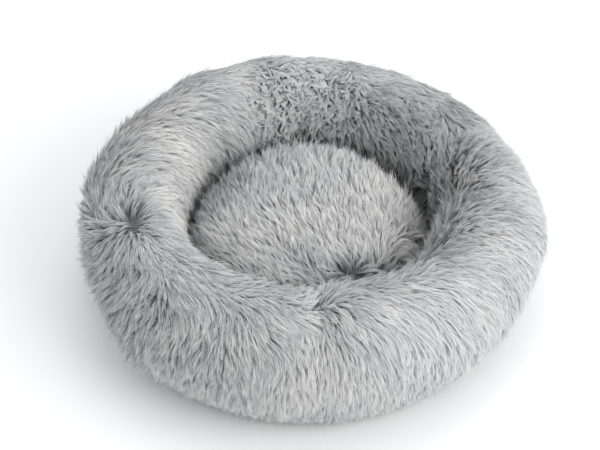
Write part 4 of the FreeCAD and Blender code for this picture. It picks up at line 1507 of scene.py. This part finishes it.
@dataclass
class Cushion:
    """The loose round cushion: a domed pile top, a plain base and its stuffing."""

    finishes: Finishes
    density: float = 0.5e6
    pile: float = 14 * MM
    parts: int = 5
    lean: float = 14 * MM
    cord: float = 1.3 * MM
    radius: float = field(init=False)
    seam: float = field(init=False)
    crown: float = field(init=False)
    floor: float = field(init=False)

    def __post_init__(self) -> None:
        """Work the sizes out from the frame."""
        top_low, top_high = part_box("cushion_cover_top")
        self.radius = top_high.x - self.pile
        self.crown = top_high.z - self.pile
        self.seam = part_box("cushion_cover_base")[1].z
        self.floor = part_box("cushion_cover_base")[0].z
        self.unevenness = Ripples(17, 120 * MM)

    def at(self, azimuth: Array, swing: Array, inset: float = 0.0) -> Array:
        """Points of the cushion's cloth.

        Args:
            azimuth: Angles round the cushion, in radians.
            swing: 90 degrees at the crown, 0 at the seam, -90 degrees under the middle.
            inset: Distance inside the cloth.

        Returns:
            The points, one row each.
        """
        across = np.clip(np.cos(swing), 0, 1) ** 0.5
        up = np.sin(swing)
        upper = self.seam + (self.crown - self.seam - inset) * np.clip(up, 0, 1) ** 0.62
        lower = self.seam + (self.seam - self.floor - inset) * -(np.clip(-up, 0, 1) ** 0.55)
        level = np.where(up >= 0, upper, lower)
        plan = np.stack([self.radius * across * np.cos(azimuth),
                         self.radius * across * np.sin(azimuth), 0 * azimuth], -1)
        uneven = 2.4 * MM * self.unevenness.at(plan) * np.clip(up + 0.35, 0, 1)
        radial = (self.radius - inset + 0.4 * uneven) * across
        lean = self.lean * across * np.clip(np.sin(azimuth), 0, 1) * smooth_step(0, 0.7, up)
        return np.stack([radial * np.cos(azimuth), radial * np.sin(azimuth),
                         level + lean + uneven * np.clip(up, 0, 1)], -1)

    def disc(self, name: str, low: float, high: float, thickness: float,
             rows: int = 40, steps: int = 144) -> bpy.types.Object:
        """Closed shell of the cushion's cloth between two swings.

        Args:
            name: Name of the piece.
            low: Lower swing, in degrees.
            high: Upper swing, in degrees.
            thickness: Thickness of the cloth.
            rows: Number of rows between the swings.
            steps: Number of points round the cushion.

        Returns:
            The new piece.
        """
        turns = np.linspace(0, 2 * math.pi, steps, endpoint=False)
        swings = np.radians(np.linspace(low, high, rows))
        swing, azimuth = (part.ravel() for part in np.meshgrid(swings, turns, indexing="ij"))
        outer = self.at(azimuth, swing).reshape(rows, steps, 3)
        inner = self.at(azimuth, swing, thickness).reshape(rows, steps, 3)
        return shell_between(name, outer, inner, closed=True)

    def build(self) -> None:
        """Build the cushion's pieces."""
        top = self.disc("cushion_top", 1.5, 89.7, 1.2 * MM)
        dress(top, "cushion", self.finishes.backing, ["cushion_cover_top"])
        base = self.disc("cushion_underside", -89.7, -1.0, 1.0 * MM)
        dress(base, "cushion", self.finishes.lining, ["cushion_cover_base"])
        self.build_filling()
        self.build_piping()
        self.build_pile()

    def build_filling(self) -> None:
        """Build the stuffing, a crowned closed form just inside the cloth."""
        rows, steps = 48, 120
        turns = np.linspace(0, 2 * math.pi, steps, endpoint=False)
        swings = np.radians(np.linspace(-89.7, 89.7, rows))
        swing, azimuth = (part.ravel() for part in np.meshgrid(swings, turns, indexing="ij"))
        lumps = Ripples(44, 40 * MM)
        points = self.at(azimuth, swing, 3.4 * MM)
        points = self.at(azimuth, swing, 3.4 * MM + 1.0 * MM * (1 + lumps.at(points)))
        faces = grid_faces(rows, steps, closed=True, flipped=True)
        faces.append(tuple(range(steps)))
        faces.append(tuple((rows - 1) * steps + step for step in range(steps))[::-1])
        piece = mesh_object("cushion_stuffing", points, faces)
        dress(piece, "cushion", self.finishes.fibre, ["cushion_fill"])

    def build_piping(self) -> None:
        """Build the narrow seam cord between the pile top and the underside."""
        turns = np.linspace(0, 2 * math.pi, 220, endpoint=False)
        middle = self.at(turns, 0 * turns)
        around = np.linspace(0, 2 * math.pi, 8, endpoint=False)
        outward = np.stack([np.cos(turns), np.sin(turns), 0 * turns], -1)
        ring = middle[:, None] + self.cord * (
            np.cos(around)[None, :, None] * outward[:, None]
            + np.sin(around)[None, :, None] * np.array([0, 0, 1.0]))
        sides = len(around)
        points = ring.reshape(-1, 3)
        faces = grid_faces(len(turns), sides, closed=True)
        last = (len(turns) - 1) * sides
        faces += [(last + side, last + (side + 1) % sides, (side + 1) % sides, side)
                  for side in range(sides)]
        piece = mesh_object("cushion_seam", points, faces)
        dress(piece, "cushion", self.finishes.lining)

    def build_pile(self) -> None:
        """Grow the cushion's pile."""
        rng = np.random.default_rng(8)
        tries = int(1.5 * self.density * math.pi * self.radius ** 2 * 1.6)
        round_cushion, up_dome = even_scatter(tries)
        azimuth = 2 * math.pi * round_cushion
        low, high = math.radians(2), math.radians(89.9)
        swing = low + (high - low) * up_dome
        step = 1e-3
        around = self.at(azimuth + step, swing) - self.at(azimuth - step, swing)
        over = self.at(azimuth, swing - step) - self.at(azimuth, swing + step)
        area = np.linalg.norm(np.cross(around, over), axis=1) / (4 * step * step)
        kept = rng.random(tries) < self.density * area * 2 * math.pi * (high - low) / tries
        azimuth, swing = azimuth[kept], swing[kept]
        around, over = unit(around[kept]), unit(over[kept])
        normal = unit(np.cross(over, around))
        cosine, sine = np.cos(azimuth)[:, None], np.sin(azimuth)[:, None]
        roots = Roots(self.at(azimuth, swing), normal, cosine * over - sine * around,
                      sine * over + cosine * around)

        def offsets(u: float, v: float) -> tuple[Array, Array]:
            """Distances across and back from a place."""
            return roots.points[:, 0] - u * MM, roots.points[:, 1] - v * MM

        lie = comb(CUSHION_STROKES, CUSHION_WHORLS, offsets, STROKE_REACH)
        patches = Ripples(61, 60 * MM)
        share = (azimuth % (2 * math.pi)) / (2 * math.pi) * self.parts
        keep = [(f"cushion_pile_{part + 1}", np.floor(share) == part)
                for part in range(self.parts)]
        shade, frost = tones(CUSHION_PATCHES, offsets, len(roots.points))
        pieces = Pile(seed=9, stray=0.015).grow("cushion pile", roots, lie, keep,
                                   shade + 0.05 * patches.at(roots.points), frost)
        for piece in pieces:
            dress(piece, "cushion", self.finishes.pile)


# ---------------------------------------------------------------- base


class Surface:
    """The lower side of some frame nodes, for laying small pieces on."""

    def __init__(self, *nodes: str) -> None:
        """Read the nodes' faces.

        Args:
            nodes: Names of the frame nodes.
        """
        points, faces = [], []
        for name in nodes:
            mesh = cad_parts[name].data
            offset = len(points)
            points += [vertex.co.copy() for vertex in mesh.vertices]
            faces += [[offset + index for index in polygon.vertices]
                      for polygon in mesh.polygons]
        self.tree = BVHTree.FromPolygons(points, faces)

    def below(self, x: float, y: float) -> tuple[Vector, Vector] | None:
        """Find the lowest point over a place of the floor.

        Args:
            x: Place of the floor, along X.
            y: Place of the floor, along Y.

        Returns:
            The point with the normal facing down there, or None beside the nodes.
        """
        point, normal, _, _ = self.tree.ray_cast(Vector((x, y, -1.0)), Vector((0, 0, 1)))
        if point is None:
            return None
        return point, normal if normal.z < 0 else -normal


def stitch_row(name: str, line: Sequence[tuple[Vector, Vector]], length: float,
               thickness: float, closed: bool = False) -> bpy.types.Object:
    """Row of lockstitches along a line of surface points.

    Args:
        name: Name of the piece.
        line: Points with their outward normals, one for each end of a stitch and gap.
        length: Share of each step that the thread shows.
        thickness: Thickness of the thread.
        closed: Whether the last stitch meets the first.

    Returns:
        The new piece.
    """
    points, faces = [], []
    profile = ((-0.5, 0.25), (-0.42, 0.8), (-0.15, 1.0), (0.15, 1.0), (0.42, 0.8), (0.5, 0.25))
    count = len(line) if closed else len(line) - 1
    for index in range(count):
        (start, normal), (end, _) = line[index], line[(index + 1) % len(line)]
        along = end - start
        middle = (start + end) / 2 + normal * thickness * 0.1
        side = normal.cross(along).normalized()
        offset = len(points)
        for share, swell in profile:
            centre = middle + along * share * length
            for corner in range(6):
                angle = 2 * math.pi * corner / 6
                lean = side * math.cos(angle) + normal * math.sin(angle) * 0.8
                points.append(centre + lean * thickness * 0.5 * swell)
        faces += grid_faces(len(profile), 6, offset=offset, closed=True)
        faces.append(tuple(offset + corner for corner in range(6))[::-1])
        faces.append(tuple(offset + (len(profile) - 1) * 6 + corner for corner in range(6)))
    return mesh_object(name, points, faces)


@dataclass
class Base:
    """The flat underside: panel, wadding, lining, grip dots, label and their seams."""

    finishes: Finishes
    pitch: float = 14 * MM

    def build(self) -> None:
        """Build and finish the base's pieces."""
        refinish("base_panel", self.finishes.base)
        refinish("base_seam_binding", self.finishes.tape)
        refinish("nest_seam_tape", self.finishes.tape)
        refinish("care_label", self.finishes.label)
        self.build_wadding()
        self.build_lining()
        self.build_dots()
        self.build_stitching()

    def quilted(self, radius: Array, azimuth: Array, depth: float) -> Array:
        """Height of a softly quilted surface: pillows between diagonal channels.

        Args:
            radius: Distances from the bed's axis.
            azimuth: Angles round the bed.
            depth: Height of a pillow.

        Returns:
            The height at each place.
        """
        x, y = radius * np.cos(azimuth), radius * np.sin(azimuth)
        turns = math.pi / (42 * MM)
        return depth * (np.abs(np.sin((x + y) * turns)) * np.abs(np.sin((x - y) * turns))) ** 0.5

    def layer(self, name: str, radius: float, low: float, high: float, relief: float,
              steps: int = 180, rows: int = 60) -> bpy.types.Object:
        """Round layer with a quilted top and a rounded edge.

        Args:
            name: Name of the piece.
            radius: Outer radius.
            low: Underside height.
            high: Greatest height of the top.
            relief: Depth of the quilting.
            steps: Points round the edge.
            rows: Points from the middle to the edge.

        Returns:
            The new piece.
        """
        turns = np.linspace(0, 2 * math.pi, steps, endpoint=False)
        shares = np.linspace(0.004, 1, rows)
        share, azimuth = np.meshgrid(shares, turns, indexing="ij")
        thick = high - low
        edge = np.sqrt(np.clip(1 - np.clip((share - 1) * radius / thick + 1, 0, 1) ** 2, 0, 1))
        top = low + thick * (0.15 + 0.85 * edge) - relief
        top = top + self.quilted(share * radius, azimuth, relief) * edge
        bottom = np.full_like(top, low)
        place = [share * radius * np.cos(azimuth), share * radius * np.sin(azimuth)]
        return shell_between(name, np.stack(place + [bottom], -1), np.stack(place + [top], -1),
                             closed=True)

    def build_wadding(self) -> None:
        """Build the thin quilted pad that lies over the base."""
        low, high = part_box("base_wadding")
        piece = self.layer("base_pad", high.x, low.z, high.z, 1.6 * MM)
        dress(piece, "bed", self.finishes.fibre, ["base_wadding"])

    def build_lining(self) -> None:
        """Build the cloth that lines the nest's floor under the cushion."""
        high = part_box("nest_lining")[1]
        radius = high.x
        steps, rows = 200, 70
        turns = np.linspace(0, 2 * math.pi, steps, endpoint=False)
        shares = np.linspace(0.004, 1, rows)
        share, azimuth = np.meshgrid(shares, turns, indexing="ij")
        place = np.stack([share * radius * np.cos(azimuth), share * radius * np.sin(azimuth)],
                         -1)
        soft = Ripples(52, 90 * MM)
        flat = np.concatenate([place, 0 * share[..., None]], -1).reshape(-1, 3)
        wave = 0.35 * MM * soft.at(flat).reshape(share.shape) * (1 - share ** 6)
        gather = 0.3 * MM * np.sin(azimuth * 46) * smooth_step(0.9, 1.0, share)
        top = high.z - 0.4 * MM + np.clip(wave + gather, -0.4 * MM, 0.6 * MM)
        thickness = 0.8 * MM
        outer = np.concatenate([place, (top - thickness)[..., None]], -1)
        inner = np.concatenate([place, top[..., None]], -1)
        piece = shell_between("nest_floor", outer, inner, closed=True)
        dress(piece, "bed", self.finishes.lining, ["nest_lining"])

    def build_dots(self) -> None:
        """Build the moulded grip dots, domed and close together."""
        surface = Surface("base_panel")
        label_low, label_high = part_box("care_label")
        low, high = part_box("grip_dots")
        points, faces = [], []
        profile = ((1.0, 0.0), (1.0, 0.25), (0.93, 0.55), (0.74, 0.82), (0.42, 0.96))
        sides = 14
        size = 3.1 * MM
        margin = 5 * MM
        rows = int(high.x / (self.pitch * math.sqrt(0.75))) + 1
        for row in range(-rows, rows + 1):
            for column in range(-rows, rows + 1):
                x = (column + 0.5 * (row % 2)) * self.pitch
                y = row * self.pitch * math.sqrt(0.75)
                if math.hypot(x, y) > high.x - size:
                    continue
                if (label_low.x - margin < x < label_high.x + margin
                        and label_low.y - margin < y < label_high.y + margin):
                    continue
                found = surface.below(x, y)
                if found is None:
                    continue
                seat = found[0].z + 0.1 * MM
                height = seat - low.z
                offset = len(points)
                for share, rise in profile:
                    for corner in range(sides):
                        angle = 2 * math.pi * corner / sides
                        points.append((x + size * share * math.cos(angle),
                                       y + size * share * math.sin(angle),
                                       seat - height * rise))
                points.append((x, y, low.z))
                faces += grid_faces(len(profile), sides, offset=offset, closed=True,
                                    flipped=True)
                faces.append(tuple(offset + corner for corner in range(sides)))
                last = offset + (len(profile) - 1) * sides
                tip = len(points) - 1
                faces += [(last + (corner + 1) % sides, last + corner, tip)
                          for corner in range(sides)]
        piece = mesh_object("grip_dot_field", points, faces)
        dress(piece, "bed", self.finishes.rubber, ["grip_dots"])

    def build_stitching(self) -> None:
        """Sew the panel's rim and the care label."""
        surface = Surface("base_panel")
        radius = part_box("base_panel")[1].x - 5 * MM
        steps = int(2 * math.pi * radius / (3.4 * MM))
        line = []
        for index in range(steps):
            angle = 2 * math.pi * index / steps
            found = surface.below(radius * math.cos(angle), radius * math.sin(angle))
            if found is not None:
                line.append(found)
        piece = stitch_row("base_rim_stitching", line, 0.78, 0.7 * MM, closed=True)
        dress(piece, "bed", self.finishes.thread)

        label = Surface("care_label")
        low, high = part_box("care_label")
        inset = 1.8 * MM
        corners = [(low.x + inset, low.y + inset), (high.x - inset, low.y + inset),
                   (high.x - inset, high.y - inset), (low.x + inset, high.y - inset)]
        line = []
        for (x0, y0), (x1, y1) in zip(corners, corners[1:] + corners[:1]):
            count = round(math.hypot(x1 - x0, y1 - y0) / (2.4 * MM))
            for index in range(count):
                share = index / count
                found = label.below(x0 + (x1 - x0) * share, y0 + (y1 - y0) * share)
                if found is not None:
                    line.append(found)
        piece = stitch_row("label_stitching", line, 0.75, 0.5 * MM, closed=True)
        dress(piece, "bed", self.finishes.thread)


@dataclass
class Zip:
    """The zip in the underside, through which the ring is stuffed."""

    finishes: Finishes
    radius: float = 248 * MM
    row_offset: float = 9.5 * MM
    first: float = 58.5
    last: float = 121.5
    stitch: float = 2.6 * MM

    def build(self) -> None:
        """Finish the zip's nodes and sew its tapes down."""
        for node in ("zip_tape_outer", "zip_tape_inner"):
            refinish(node, self.finishes.tape)
        for node in ("zip_coil_outer", "zip_coil_inner"):
            refinish(node, self.finishes.nylon)
        for node in ("zip_stops", "zip_slider", "zip_pull"):
            refinish(node, self.finishes.metal)
        for side, node, sign in (("outer", "zip_tape_outer", 1), ("inner", "zip_tape_inner", -1)):
            surface = Surface(node)
            radius = self.radius + sign * self.row_offset
            span = math.radians(self.last - self.first - 2)
            steps = int(span * radius / self.stitch)
            line = []
            for index in range(steps + 1):
                angle = math.radians(self.first + 1) + span * index / steps
                found = surface.below(radius * math.cos(angle), radius * math.sin(angle))
                if found is not None:
                    line.append(found)
            piece = stitch_row(f"zip_stitching_{side}", line, 0.75, 0.5 * MM)
            dress(piece, "bed", self.finishes.thread)


# ---------------------------------------------------------------- studio


@dataclass(frozen=True)
class SoftBox:
    """A large soft lamp aimed at the bed."""

    name: str
    place: tuple[float, float, float]
    size: float
    power: float

    def build(self) -> None:
        """Make the lamp."""
        light = bpy.data.lights.new(self.name, "AREA")
        light.shape = "DISK"
        light.size = self.size
        light.energy = self.power
        lamp = bpy.data.objects.new(self.name, light)
        lamp.location = self.place
        aim = Vector((0, 0, 0.08)) - Vector(self.place)
        lamp.rotation_euler = aim.to_track_quat("-Z", "Y").to_euler()
        bpy.context.scene.collection.objects.link(lamp)


@dataclass
class Studio:
    """Floor, light and camera."""

    finishes: Finishes
    lamps: tuple[SoftBox, ...] = (
        SoftBox("key", (1.7, -1.1, 1.4), 1.8, 30.0),
        SoftBox("top", (0.0, 0.5, 2.2), 1.4, 6.0),
    )
    fill: float = 1.0
    target: tuple[float, float, float] = (0, 0, 0.08)
    elevation: float = 42.5
    distance: float = 1.6
    lens: float = 73.1
    shift: tuple[float, float] = (-8 / 600, 3.5 / 600)

    def build(self) -> None:
        """Build the studio."""
        self.build_floor()
        for lamp in self.lamps:
            lamp.build()
        world = bpy.data.worlds.new("studio")
        world.use_nodes = True
        background = world.node_tree.nodes["Background"]
        background.inputs["Color"].default_value = (0.98, 0.99, 1.0, 1)
        background.inputs["Strength"].default_value = self.fill
        bpy.context.scene.world = world
        bpy.context.scene.view_settings.view_transform = "Standard"
        self.build_camera()

    def build_floor(self) -> None:
        """Build a wide pale floor."""
        reach = 6.0
        steps = np.linspace(-reach, reach, 9)
        points = [(x, y, 0.0) for y in steps for x in steps]
        floor = mesh_object("floor", points, grid_faces(9, 9))
        floor.data.materials.append(self.finishes.floor)

    def build_camera(self) -> None:
        """Aim the camera."""
        camera = bpy.data.cameras.new("camera")
        camera.lens = self.lens
        camera.shift_x, camera.shift_y = self.shift
        eye = bpy.data.objects.new("camera", camera)
        tilt = math.radians(self.elevation)
        aim = Vector(self.target)
        eye.location = aim + self.distance * Vector((0, -math.cos(tilt), math.sin(tilt)))
        eye.rotation_euler = (aim - eye.location).to_track_quat("-Z", "Y").to_euler()
        bpy.context.scene.collection.objects.link(eye)
        bpy.context.scene.camera = eye


def main() -> None:
    """Build the bed and its studio."""
    logging.basicConfig(level=logging.INFO, format="%(message)s")
    finishes = Finishes()
    Bolster(Ring(), finishes).build()
    Cushion(finishes).build()
    Base(finishes).build()
    Zip(finishes).build()
    Studio(finishes).build()


if __name__ == "__main__":
    main()
